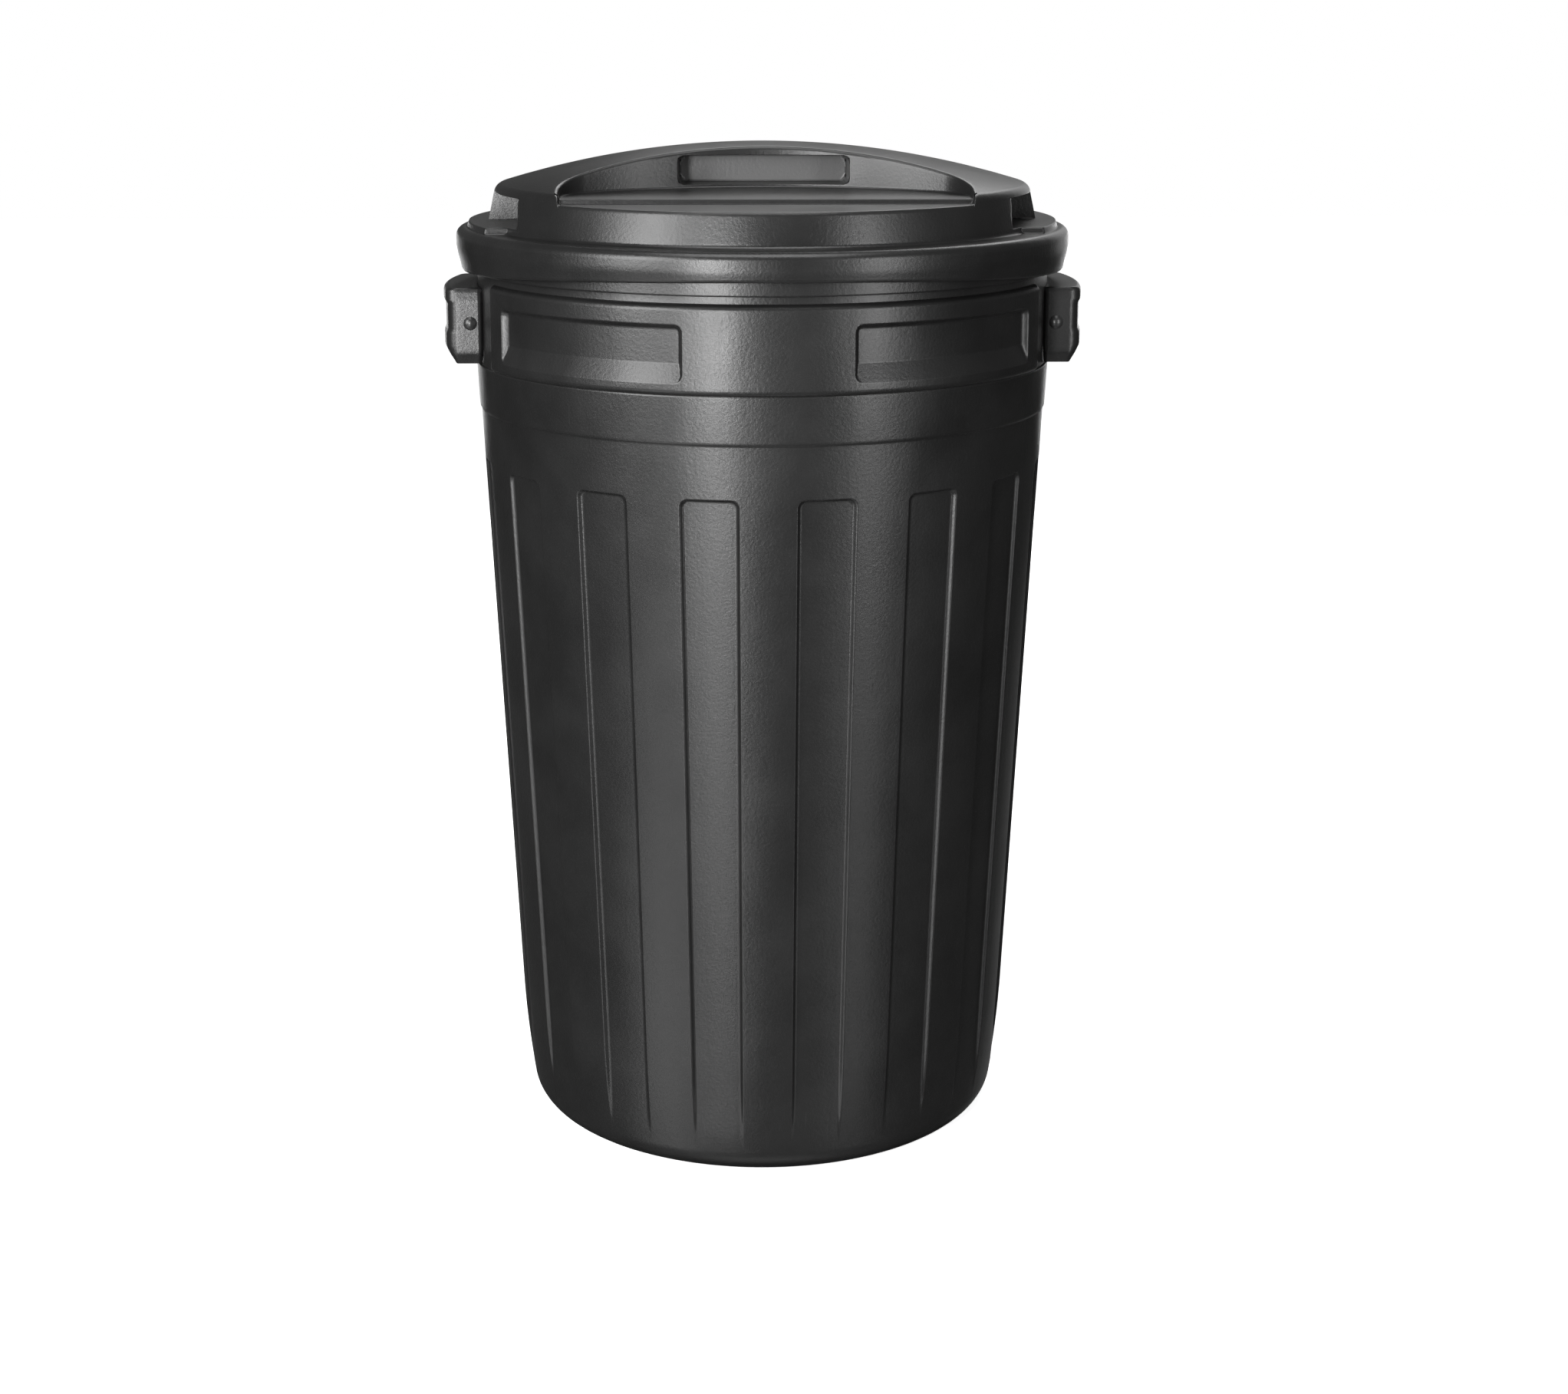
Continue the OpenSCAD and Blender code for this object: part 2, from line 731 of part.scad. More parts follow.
// One pin along Y with a domed head on the handle's end face at -Y.
module handle_pin() {
    head = pin_head_rise;
    sphere_r = (pow(pin_head / 2, 2) + head * head) / (2 * head);
    color(pin_plastic)
        translate([pin_axis_radius, -handle_half_length, pin_height])
            rotate([-90, 0, 0]) {
                cylinder(d = pin_diameter, h = pin_length - 1, $fn = 48);
                translate([0, 0, pin_length - 1])
                    cylinder(d1 = pin_diameter, d2 = pin_diameter - 2, h = 1, $fn = 48);
                intersection() {
                    translate([0, 0, sphere_r - head])
                        sphere(r = sphere_r, $fn = 96);
                    translate([0, 0, -head - 1])
                        cylinder(d = pin_head, h = head + 1, $fn = 64);
                }
            }
}

module pin_right_front() {
    handle_pin();
}

module pin_right_rear() {
    mirror([0, 1, 0])
        handle_pin();
}

module pin_left_front() {
    mirror([1, 0, 0])
        handle_pin();
}

module pin_left_rear() {
    rotate([0, 0, 180])
        handle_pin();
}

tub();
lid();
handle_right();
handle_left();
pin_right_front();
pin_right_rear();
pin_left_front();
pin_left_rear();
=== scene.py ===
"""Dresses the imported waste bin: its fluted tub, domed lid, carry handles and pins.

Sizes are in millimetres and each mesh is turned to metres as it is made. +Z is up,
-Y is the front, and azimuths are measured from the front towards +X.
"""

import logging
import math
from collections.abc import Sequence
from dataclasses import dataclass, replace
from enum import Enum

import bmesh
import bpy
import numpy as np
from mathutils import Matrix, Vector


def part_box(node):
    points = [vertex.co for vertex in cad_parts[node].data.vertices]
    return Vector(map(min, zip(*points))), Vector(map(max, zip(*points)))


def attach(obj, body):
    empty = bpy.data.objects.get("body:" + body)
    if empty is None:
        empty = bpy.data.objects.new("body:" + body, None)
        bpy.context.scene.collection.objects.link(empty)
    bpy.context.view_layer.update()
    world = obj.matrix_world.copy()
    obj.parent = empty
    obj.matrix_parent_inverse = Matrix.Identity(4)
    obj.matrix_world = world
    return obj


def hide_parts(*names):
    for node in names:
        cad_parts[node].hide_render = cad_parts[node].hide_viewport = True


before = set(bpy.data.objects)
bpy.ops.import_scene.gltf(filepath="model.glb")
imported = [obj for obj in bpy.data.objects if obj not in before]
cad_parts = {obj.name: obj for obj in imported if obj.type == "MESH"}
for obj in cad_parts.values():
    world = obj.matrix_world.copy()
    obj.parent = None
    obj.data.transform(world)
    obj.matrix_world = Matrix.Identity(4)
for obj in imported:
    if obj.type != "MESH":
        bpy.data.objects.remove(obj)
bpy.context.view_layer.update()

MM = 0.001
# points closer than this, in metres, are one point
MERGE_DISTANCE = 0.00001
# the factors that mirror a quarter in X and Y
QUARTERS = ((1, 1, 1), (-1, 1, 1), (1, -1, 1), (-1, -1, 1))
WHITE = (1.0, 1.0, 1.0, 1.0)
# the sockets of a Mix node that mixes two colours
SHARE, FIRST, SECOND, MIXED = 0, 6, 7, 2
LOG = logging.getLogger("bin")

# a number or an array of numbers
Values = np.ndarray | float


class Body(Enum):
    """The bodies that a piece can ride on."""

    TUB = "tub_body"
    LID = "lid_body"


class Slot(Enum):
    """The material slots of the record."""

    BODY = "body_plastic"
    PIN = "pin_plastic"


class Side(Enum):
    """The side of the bin that a handle is on, as the sign of X."""

    RIGHT = 1
    LEFT = -1


class End(Enum):
    """The end of a handle that a pin is in, as the sign of Y."""

    FRONT = -1
    REAR = 1


# shared geometry


def ease(value: Values) -> np.ndarray:
    """Goes smoothly from 0 to 1 as value goes from 0 to 1."""
    held = np.clip(value, 0.0, 1.0)
    return held * held * (3.0 - 2.0 * held)


def blend(low: Values, high: Values, share: Values) -> np.ndarray:
    """Goes from low to high as share goes from 0 to 1."""
    return low + (high - low) * share


def arc(centre: tuple[float, float], radius: float, start: float, end: float,
        count: int) -> np.ndarray:
    """Points of an arc in a section.

    Args:
        centre: middle of the arc as radius and height.
        radius: radius of the arc.
        start: first angle in degrees, 0 outwards and 90 up.
        end: last angle in degrees.
        count: number of points, both ends among them.

    Returns:
        An array of count rows of radius and height.
    """
    turn = np.radians(np.linspace(start, end, count))
    return np.stack([centre[0] + radius * np.cos(turn), centre[1] + radius * np.sin(turn)], axis=1)


def around(radius: np.ndarray, azimuth: np.ndarray, height: np.ndarray) -> np.ndarray:
    """Points around the axis of the bin.

    Args:
        radius: distance from the axis.
        azimuth: degrees from the front towards +X.
        height: height above the floor.

    Returns:
        The points, with x, y and z along the last axis.
    """
    turn = np.radians(azimuth)
    radius, turn, height = np.broadcast_arrays(radius, turn, height)
    return np.stack([radius * np.sin(turn), -radius * np.cos(turn), height], axis=-1)


def inside_rounded(x: np.ndarray, z: np.ndarray, half: Values, low: float, high: float,
                   corner: float) -> np.ndarray:
    """How far a point lies inside a rounded rectangle.

    Args:
        x: distance from the middle of the rectangle.
        z: height of the point.
        half: half width of the rectangle.
        low: height of its lower edge.
        high: height of its upper edge.
        corner: its corner radius.

    Returns:
        The distance to the outline, negative outside.
    """
    over_x = np.abs(x) - (half - corner)
    over_z = np.abs(z - (low + high) / 2) - ((high - low) / 2 - corner)
    outer = np.hypot(np.maximum(over_x, 0), np.maximum(over_z, 0))
    return corner - outer - np.minimum(np.maximum(over_x, over_z), 0)


class Skin:
    """Grids of points that are joined into one mesh."""

    def __init__(self) -> None:
        """Starts with no points."""
        self.points: list[np.ndarray] = []
        self.quads: list[np.ndarray] = []
        self.count = 0

    def grid(self, points: np.ndarray, closed: bool = False) -> None:
        """Adds a grid of quads.

        Args:
            points: array of rows, columns and three coordinates.
            closed: whether the last column joins the first.
        """
        rows, columns = points.shape[:2]
        index = self.count + np.arange(rows * columns).reshape(rows, columns)
        if closed:
            index = np.concatenate([index, index[:, :1]], axis=1)
        corners = [index[:-1, :-1], index[:-1, 1:], index[1:, 1:], index[1:, :-1]]
        self.points.append(points.reshape(-1, 3))
        self.quads.append(np.stack(corners, axis=-1).reshape(-1, 4))
        self.count += rows * columns

    def quarters(self, points: np.ndarray, closed: bool = False) -> None:
        """Adds a grid and its mirror images in X and Y."""
        for mirror in QUARTERS:
            self.grid(points * np.array(mirror), closed)

    def turned(self, section: np.ndarray, columns: int) -> None:
        """Adds a section of radius and height, turned about the axis."""
        azimuth = np.linspace(0.0, 360.0, columns, endpoint=False)
        self.grid(around(section[:, :1], azimuth[None], section[:, 1:]), closed=True)

    def block(self, low: Sequence[float], high: Sequence[float], azimuth: float) -> None:
        """Adds a closed block between two corners, turned about the axis.

        Args:
            low: its lowest corner.
            high: its highest corner.
            azimuth: how far it is turned, in degrees.
        """
        x = np.array([low[0], low[0], high[0], high[0]])
        z = np.array([low[2], high[2], high[2], low[2]])
        rows = [np.stack([x, np.full(4, y), z], axis=1) for y in (low[1], high[1])]
        middle = [np.tile(row.mean(axis=0), (4, 1)) for row in rows]
        points = np.stack([middle[0], rows[0], rows[1], middle[1]])
        turn = math.radians(azimuth)
        cosine, sine = math.cos(turn), math.sin(turn)
        spin = np.array([[cosine, sine, 0], [-sine, cosine, 0], [0, 0, 1]])
        self.grid(points @ spin, closed=True)

    def build(self, name: str) -> bpy.types.Object:
        """Makes the object, with coinciding points merged and smooth faces.

        Args:
            name: name of the new object.

        Returns:
            The object, linked to the scene.
        """
        mesh = bpy.data.meshes.new(name)
        points = np.concatenate(self.points) * MM
        quads = np.concatenate(self.quads)
        mesh.from_pydata(points.tolist(), [], quads.tolist())
        work = bmesh.new()
        work.from_mesh(mesh)
        bmesh.ops.remove_doubles(work, verts=work.verts[:], dist=MERGE_DISTANCE)
        bmesh.ops.dissolve_degenerate(work, dist=MERGE_DISTANCE, edges=work.edges[:])
        bmesh.ops.recalc_face_normals(work, faces=work.faces[:])
        for face in work.faces:
            face.smooth = True
        work.to_mesh(mesh)
        work.free()
        piece = bpy.data.objects.new(name, mesh)
        bpy.context.scene.collection.objects.link(piece)
        piece.modifiers.new("even_shading", "WEIGHTED_NORMAL")
        return piece


# finishes


def linear(colour: str) -> tuple[float, float, float, float]:
    """Turns an sRGB colour to the linear light that the nodes work in.

    Args:
        colour: the colour as # and six hex digits.

    Returns:
        Linear red, green and blue, and an alpha of 1.
    """
    parts = [int(colour[i : i + 2], 16) / 255 for i in (1, 3, 5)]
    red, green, blue = (p / 12.92 if p <= 0.04045 else ((p + 0.055) / 1.055) ** 2.4 for p in parts)
    return red, green, blue, 1.0


def per_metre(size_mm: float) -> float:
    """Texture scale at which one cell of a pattern is size_mm wide."""
    return 1.0 / (size_mm * MM)


def add_node(tree: bpy.types.NodeTree, kind: str, settings: dict[str, object] | None = None,
             inputs: dict[str | int, object] | None = None) -> bpy.types.Node:
    """Adds a node with its settings and links.

    Args:
        tree: the tree that gets the node.
        kind: the node's type.
        settings: values of the node's own properties.
        inputs: for each input by name or number, a value or the socket that feeds it.

    Returns:
        The node.
    """
    node = tree.nodes.new(kind)
    for key, value in (settings or {}).items():
        setattr(node, key, value)
    for key, value in (inputs or {}).items():
        if isinstance(value, bpy.types.NodeSocket):
            tree.links.new(value, node.inputs[key])
        else:
            node.inputs[key].default_value = value
    return node


@dataclass(frozen=True)
class MouldedPlastic:
    """Injection moulded plastic with the fine grain of a spark-eroded mould.

    The eye sees a dark, even body colour under a soft, wide sheen that the grain
    breaks up, with slow waves where the wall shrank and a few pale rubbed lines.
    """

    name: str
    colour: str
    worn: str
    roughness: float
    ior: float
    grain_mm: float
    grain_depth_mm: float
    wave_mm: float
    wave_depth_mm: float
    scuffs: float
    tone_mm: float = 70.0
    tone_share: float = 0.16
    sheen_spread: float = 0.03
    scuff_mm: float = 2.2
    scuff_patch_mm: float = 55.0
    # paler colour painted on the grip pockets' back as painted light, the middle of that back
    # as distances from the two mirror planes and from the floor, and how far it reaches from there
    pocket_painted_light: str = ""
    pocket_place: tuple[float, float, float] = (0.0, 22.0, 798.2)
    pocket_reach: tuple[float, float, float] = (66.2, 5.0, 10.4)

    def painted_light_mask(self, tree: bpy.types.NodeTree,
                    place: bpy.types.NodeSocket) -> bpy.types.NodeSocket:
        """Marks the back of the grip pockets, which get a paler colour as painted light.

        Args:
            tree: the tree that gets the nodes.
            place: the point's place in the piece.

        Returns:
            The socket that is 1 on the back of a pocket and 0 elsewhere.
        """
        parts = add_node(tree, "ShaderNodeSeparateXYZ", inputs={0: place}).outputs
        mask = None
        for part, middle, reach in zip(parts, self.pocket_place, self.pocket_reach):
            size = add_node(tree, "ShaderNodeMath", {"operation": "ABSOLUTE"}, {0: part})
            near = add_node(tree, "ShaderNodeMath", {"operation": "COMPARE"}, {
                0: size.outputs[0], 1: middle * MM, 2: reach * MM})
            if mask is None:
                mask = near
            else:
                mask = add_node(tree, "ShaderNodeMath", {"operation": "MULTIPLY"}, {
                    0: mask.outputs[0], 1: near.outputs[0]})
        return mask.outputs[0]

    def make(self) -> bpy.types.Material:
        """Builds the material's node tree.

        Returns:
            The material.
        """
        material = bpy.data.materials.new(self.name)
        material.use_nodes = True
        tree = material.node_tree
        tree.nodes.clear()
        place = add_node(tree, "ShaderNodeTexCoord").outputs["Object"]

        # slow change of tone where the melt cooled at another pace
        tone = add_node(tree, "ShaderNodeTexNoise", inputs={
            "Vector": place, "Scale": per_metre(self.tone_mm), "Detail": 3.0, "Roughness": 0.55})
        # rubbed lines, as wide as a fingernail's mark, that come in patches
        stretched = add_node(tree, "ShaderNodeMapping", inputs={
            "Vector": place, "Rotation": (0.25, 0.1, 0.5), "Scale": (1.0, 1.0, 0.05)})
        lines = add_node(tree, "ShaderNodeTexNoise", inputs={
            "Vector": stretched.outputs[0], "Scale": per_metre(self.scuff_mm), "Detail": 2.0})
        patches = add_node(tree, "ShaderNodeTexNoise", inputs={
            "Vector": place, "Scale": per_metre(self.scuff_patch_mm), "Detail": 2.0})
        line_mask = add_node(tree, "ShaderNodeMapRange", inputs={
            "Value": lines.outputs["Fac"], "From Min": 0.69, "From Max": 0.76})
        patch_mask = add_node(tree, "ShaderNodeMapRange", inputs={
            "Value": patches.outputs["Fac"], "From Min": 0.5, "From Max": 0.66,
            "To Max": self.scuffs})
        scuff = add_node(tree, "ShaderNodeMath", {"operation": "MULTIPLY"}, {
            0: line_mask.outputs[0], 1: patch_mask.outputs[0]})
        shade = add_node(tree, "ShaderNodeMapRange", inputs={
            "Value": tone.outputs["Fac"], "From Min": 0.35, "From Max": 0.65,
            "To Min": 0.0, "To Max": self.tone_share})
        worn_share = add_node(tree, "ShaderNodeMath", {"operation": "ADD", "use_clamp": True}, {
            0: shade.outputs[0], 1: scuff.outputs[0]})
        colour = add_node(tree, "ShaderNodeMix", {"data_type": "RGBA"}, {
            SHARE: worn_share.outputs[0], FIRST: linear(self.colour),
            SECOND: linear(self.worn)})
        # painted light: the back of the grip pockets is painted paler, in place of the light that
        # falls into them
        if self.pocket_painted_light:
            colour = add_node(tree, "ShaderNodeMix", {"data_type": "RGBA"}, {
                SHARE: self.painted_light_mask(tree, place), FIRST: colour.outputs[MIXED],
                SECOND: linear(self.pocket_painted_light)})

        # the grain of the mould, drawn several times coarser than it is so that it shows
        grain = add_node(tree, "ShaderNodeTexNoise", inputs={
            "Vector": place, "Scale": per_metre(self.grain_mm), "Detail": 4.0, "Roughness": 0.6})
        waves = add_node(tree, "ShaderNodeTexNoise", inputs={
            "Vector": place, "Scale": per_metre(self.wave_mm), "Detail": 1.0})
        sheen = add_node(tree, "ShaderNodeMapRange", inputs={
            "Value": tone.outputs["Fac"], "From Min": 0.3, "From Max": 0.7,
            "To Min": self.roughness - self.sheen_spread,
            "To Max": self.roughness + self.sheen_spread})
        wave_bump = add_node(tree, "ShaderNodeBump", inputs={
            "Height": waves.outputs["Fac"], "Strength": 1.0, "Distance": self.wave_depth_mm * MM})
        grain_bump = add_node(tree, "ShaderNodeBump", inputs={
            "Height": grain.outputs["Fac"], "Strength": 1.0, "Distance": self.grain_depth_mm * MM,
            "Normal": wave_bump.outputs[0]})
        shader = add_node(tree, "ShaderNodeBsdfPrincipled", inputs={
            "Base Color": colour.outputs[MIXED], "Roughness": sheen.outputs[0], "IOR": self.ior,
            "Normal": grain_bump.outputs[0]})
        add_node(tree, "ShaderNodeOutputMaterial", inputs={"Surface": shader.outputs[0]})
        return material


BIN_POLYETHYLENE = MouldedPlastic(
    name="moulded_polyethylene_charcoal", colour="#171717", worn="#2e2e2e", roughness=0.33, ior=1.5,
    grain_mm=2.4, grain_depth_mm=0.17, wave_mm=60.0, wave_depth_mm=0.25, scuffs=0.25)
# the lid's finish paints the back of its grip pockets paler, as painted light
LID_POLYETHYLENE = replace(BIN_POLYETHYLENE, name="moulded_polyethylene_lid", pocket_painted_light="#606060")
PIN_NYLON = MouldedPlastic(
    name="moulded_nylon_charcoal", colour="#222222", worn="#3e3e3e", roughness=0.32, ior=1.53,
    grain_mm=1.2, grain_depth_mm=0.02, wave_mm=20.0, wave_depth_mm=0.02, scuffs=0.1)


def dress(piece: bpy.types.Object, material: bpy.types.Material, body: Body,
          nodes: Sequence[str]) -> None:
    """Gives a piece its finish, its body and the CAD nodes that it stands for.

    Args:
        piece: the new object.
        material: its finish.
        body: the body that it rides on.
        nodes: names of the CAD nodes that it replaces.
    """
    piece.data.materials.clear()
    piece.data.materials.append(material)
    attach(piece, body.value)
    for node in nodes:
        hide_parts(node)
    LOG.info("%s: %d faces, rides on %s", piece.name, len(piece.data.polygons), body.value)


# tub


@dataclass
class Tub:
    """The moulded tub with its flutes, belts, turned-over rim and ribbed base."""

    rim_top: float
    # the tapered wall and the rounded base
    collar_radius: float = 233.4
    collar_set_in: float = 0.9
    taper: float = 0.05
    wall: float = 3.0
    floor: float = 3.6
    corner_radius: float = 26.0
    foot_height: float = 104.0
    foot_radius: float = 800.0
    # the standing ring, and the ribs and the hub under the floor
    stand_radius: float = 144.0
    floor_lift: float = 6.0
    floor_ring: float = 60.0
    ribs: int = 8
    rib_half: float = 1.2
    rib_clear: float = 1.5
    hub_radius: float = 18.0
    hub_wall: float = 3.0
    # the flutes, which end below the floor so that they run out in the foot
    flutes: int = 16
    flute_angle: float = 11.6
    flute_depth: float = 3.0
    flute_corner: float = 7.0
    flute_gap: float = 41.2
    flute_edge: float = 2.6
    flute_outset: float = 0.2
    flute_bottom: float = -200.0
    # the step ring, the two halves of the belt and their panels
    step_height: float = 37.7
    step_proud: float = 1.4
    belt_height: float = 68.8
    belt_proud: float = 5.5
    belt_round: float = 5.0
    belt_half_angle: float = 66.0
    belt_gap: float = 6.0
    panel_start: float = 15.6
    panel_end: float = 60.0
    panel_foot: float = 9.3
    panel_head: float = 14.7
    panel_corner: float = 7.0
    panel_slope: float = 14.7
    panel_sink: float = 5.0
    panel_edge: float = 4.2
    panel_end_edge: float = 5.0
    # the turned-over rim, and the ears that the handle pins go into
    rim_proud: float = 5.6
    rim_depth: float = 31.1
    ear_width: float = 13.0
    ear_radius: float = 10.0

    def __post_init__(self) -> None:
        """Works out the heights and radii that follow from the sizes."""
        self.rim_bottom = self.rim_top - self.rim_depth
        self.belt_top = self.rim_bottom - self.belt_gap
        self.belt_bottom = self.belt_top - self.belt_height
        self.collar_bottom = self.belt_bottom - self.step_height
        self.flute_top = self.collar_bottom - self.flute_gap
        self.panel_bottom = self.belt_bottom + self.panel_foot
        self.panel_top = self.belt_top - self.panel_head
        self.base_radius = self.collar_radius + self.collar_set_in - self.taper * self.belt_bottom
        self.belt_radius = self.collar_radius + self.belt_proud
        self.rim_radius = self.collar_radius + self.rim_proud
        self.norm = math.hypot(1.0, self.taper)

    def wall_radius(self, height: Values) -> np.ndarray:
        """Radius of the plain tapered wall at a height."""
        return self.base_radius + self.taper * height

    def foot(self, inset: float) -> np.ndarray:
        """Section of the rounded base corner and the slow curve above it.

        Args:
            inset: how far the section is moved into the wall.

        Returns:
            Rows of radius and height from the flat base up to the straight wall.
        """
        centre_r = self.wall_radius(self.foot_height) - self.foot_radius / self.norm
        centre_z = self.foot_height + self.foot_radius * self.taper / self.norm
        span = self.foot_radius - self.corner_radius
        corner_r = centre_r + math.sqrt(span**2 - (self.corner_radius - centre_z) ** 2)
        meet = math.degrees(math.asin((self.corner_radius - centre_z) / span))
        corner = arc((corner_r, self.corner_radius), self.corner_radius - inset, -90.0, meet, 14)
        slow_end = -math.degrees(math.atan(self.taper))
        slow = arc((centre_r, centre_z), self.foot_radius - inset, meet, slow_end, 10)
        return np.concatenate([corner, slow[1:]])

    def heights_near_flute_top(self, grow: float) -> np.ndarray:
        """Heights that lie close together over the rounded tops of the flutes.

        Args:
            grow: how far the flutes are grown on every side.

        Returns:
            The heights, from the lowest up.
        """
        top = self.flute_top + grow
        low = top - self.flute_corner - grow
        return np.concatenate([
            np.linspace(low - 2.0, top - 2.4, 9), np.linspace(top - 2.0, top + 0.4, 9)])

    def outside(self) -> tuple[np.ndarray, np.ndarray]:
        """Section of the outside from the middle of the base to the inside of the rim.

        Returns:
            Two arrays of radius and height, one through the belt and one beside it.
        """
        lift = self.floor_lift
        stand = self.stand_radius
        base = [[0.5, lift], [self.floor_ring, lift], [stand - 2.0, lift],
                [stand - 0.6, lift - 0.6], [stand, lift - 2.0], [stand, 1.2],
                [stand + 0.4, 0.35], [stand + 1.2, 0.0], [stand + 12.0, 0.0]]
        foot = self.foot(0.0)
        low, high = self.collar_bottom, self.belt_bottom
        heights = np.concatenate([
            np.linspace(self.foot_height, self.flute_top - 14.0, 10)[1:],
            self.heights_near_flute_top(0.0), [self.flute_top + 4.0, low - 4.0, low - 1.0]])
        wall = np.stack([self.wall_radius(heights), heights], axis=1)
        step_r = self.wall_radius(low)
        proud = self.step_proud
        step_top = self.wall_radius(high) + proud - 0.2
        step = [[step_r + 0.05, low - 0.2], [step_r + 0.4 * proud, low + 0.5],
                [step_r + 0.85 * proud, low + 1.5], [step_r + proud, low + 3.0],
                [blend(step_r + proud, step_top, 0.5), blend(low, high, 0.5)],
                [step_top, high - 1.2], [step_top - 0.15, high - 0.4]]
        common = np.concatenate([base, foot, wall, step])
        belt, beside = self.belt_sections(step_top)
        rim = self.rim_section()
        return np.concatenate([common, belt, rim]), np.concatenate([common, beside, rim])

    def belt_sections(self, step_top: float) -> tuple[np.ndarray, np.ndarray]:
        """Sections through the belt and through the plain collar beside it.

        Args:
            step_top: radius of the upper edge of the step ring.

        Returns:
            Two arrays of radius and height with the same number of rows.
        """
        centre = self.belt_radius - self.belt_round
        low = arc((centre, self.belt_bottom + self.belt_round), self.belt_round, -72.0, 0.0, 8)
        high = arc((centre, self.belt_top - self.belt_round), self.belt_round, 0.0, 90.0, 9)
        corner = self.panel_corner
        bottom, top = self.panel_bottom, self.panel_top
        slope_top = bottom + self.panel_slope
        heights = np.concatenate([
            [bottom - 1.5, bottom - 0.5], bottom + np.arange(0.0, corner + 0.5, 0.6),
            np.linspace(bottom + corner + 1.5, slope_top - 0.6, 4), [slope_top, slope_top + 0.8],
            np.linspace(slope_top + 3.0, top - corner - 1.0, 4),
            np.linspace(top - corner, top - 2.2, 7), np.linspace(top - 1.8, top, 6),
            [top + 0.5]])
        face = np.stack([np.full(heights.size, self.belt_radius), heights], axis=1)
        belt = np.concatenate([[[step_top - 0.5, self.belt_bottom]], low, face, high])
        beside = belt.copy()
        beside[:, 0] = self.collar_radius
        beside[0, 0] = step_top - 0.5
        beside[1] = [self.collar_radius + 0.6, self.belt_bottom + 0.05]
        beside[2:4, 1] = [self.belt_bottom + 0.2, self.belt_bottom + 0.8]
        return belt, beside

    def rim_section(self) -> np.ndarray:
        """Section of the neck, the turned-over rim and its top.

        Returns:
            Rows of radius and height from the belt up to the inside of the rim.
        """
        wall = self.wall
        collar = self.collar_radius
        inner = collar - wall
        outer = self.rim_radius
        under = self.rim_top - 2 * wall
        neck = [[collar, self.belt_top + 0.4], [collar, self.rim_bottom], [collar, under - 0.8],
                [collar + 0.4, under - 0.2], [collar + 1.2, under], [outer - wall, under]]
        lip = arc((outer - wall / 2, self.rim_bottom + wall / 2), wall / 2, 180.0, 360.0, 9)
        shoulder = arc((outer - wall, self.rim_top - wall), wall, 0.0, 90.0, 9)
        edge = arc((inner + 1.2, self.rim_top - 1.2), 1.2, 90.0, 180.0, 5)
        return np.concatenate([neck, lip, shoulder, edge])

    def inside(self) -> np.ndarray:
        """Section of the inside from the rim down to the middle of the floor.

        Returns:
            Rows of radius and height.
        """
        inner = self.collar_radius - self.wall
        wall_top = self.wall_radius(self.collar_bottom) - self.wall * self.norm
        heights = np.concatenate([
            [self.collar_bottom - 6.0], self.heights_near_flute_top(self.wall)[::-2],
            np.linspace(self.flute_top - 20.0, self.foot_height + 4.0, 7)])
        wall = np.stack([self.wall_radius(heights) - self.wall * self.norm, heights], axis=1)
        foot = self.foot(self.wall)[::-1]
        foot = foot[foot[:, 1] > self.floor]
        ring = self.stand_radius + self.wall
        lifted = self.floor_lift + self.floor
        floor = [[foot[-1, 0] - 1.5, self.floor], [ring + 1.0, self.floor],
                 [ring, self.floor + 1.0], [ring, lifted - 1.0], [ring - 1.0, lifted],
                 [self.floor_ring, lifted], [15.0, lifted], [14.0, lifted + 1.2],
                 [0.5, lifted + 1.2]]
        collar = [[inner, self.rim_top - 12.0], [inner, self.collar_bottom + 8.0],
                  [wall_top, self.collar_bottom]]
        return np.concatenate([collar, wall, foot, floor])

    def azimuths(self) -> np.ndarray:
        """Azimuths of the columns, close together where an edge runs upwards.

        Returns:
            Degrees from the front, once around.
        """
        pitch = 360.0 / self.flutes
        near = np.array([-2.0, -1.55, -1.15, -0.8, -0.5, -0.3, -0.14, 0.0, 0.16])
        edges: list[float] = []
        for middle in np.arange(pitch / 2, 90.0, pitch):
            for side in (-1, 1):
                edges.extend(middle + side * (self.flute_angle / 2 + near))
        panel_near = np.array([-0.12, 0.0, 0.14, 0.28, 0.45, 0.75, 1.2, 1.7])
        edges.extend(self.panel_start + panel_near)
        edges.extend(self.panel_end - panel_near)
        belt_near = np.array([-0.3, 0.0, 0.04, 0.12, 0.26, 0.5, 0.85, 1.25])
        edges.extend(self.belt_half_angle - belt_near)
        chosen = np.array(sorted(edges))
        for angle in np.linspace(0.0, 90.0, 61):
            if np.min(np.abs(chosen - angle)) > 0.6:
                chosen = np.append(chosen, angle)
        quarter = np.unique(np.round(np.append(chosen, (0.0, 90.0)), 4))
        half = np.concatenate([quarter, 180.0 - quarter[-2::-1]])
        return np.concatenate([half, half[1:-1] + 180.0])

    def flute_share(self, fold: np.ndarray, height: np.ndarray, grow: float) -> np.ndarray:
        """How far a point is sunk into a flute, from 0 to 1.

        Args:
            fold: degrees from the nearer of front and rear.
            height: height of the point.
            grow: how far the flute is grown on every side.

        Returns:
            The share of the flute's depth.
        """
        pitch = 360.0 / self.flutes
        offset = np.radians(np.mod(fold, pitch) - pitch / 2)
        radius = self.wall_radius(height)
        half = radius * math.sin(math.radians(self.flute_angle / 2)) + grow
        within = inside_rounded(radius * np.sin(offset), height, half, self.flute_bottom,
                                self.flute_top + grow, self.flute_corner + grow)
        return ease((within + self.flute_outset) / (self.flute_edge + self.flute_outset))

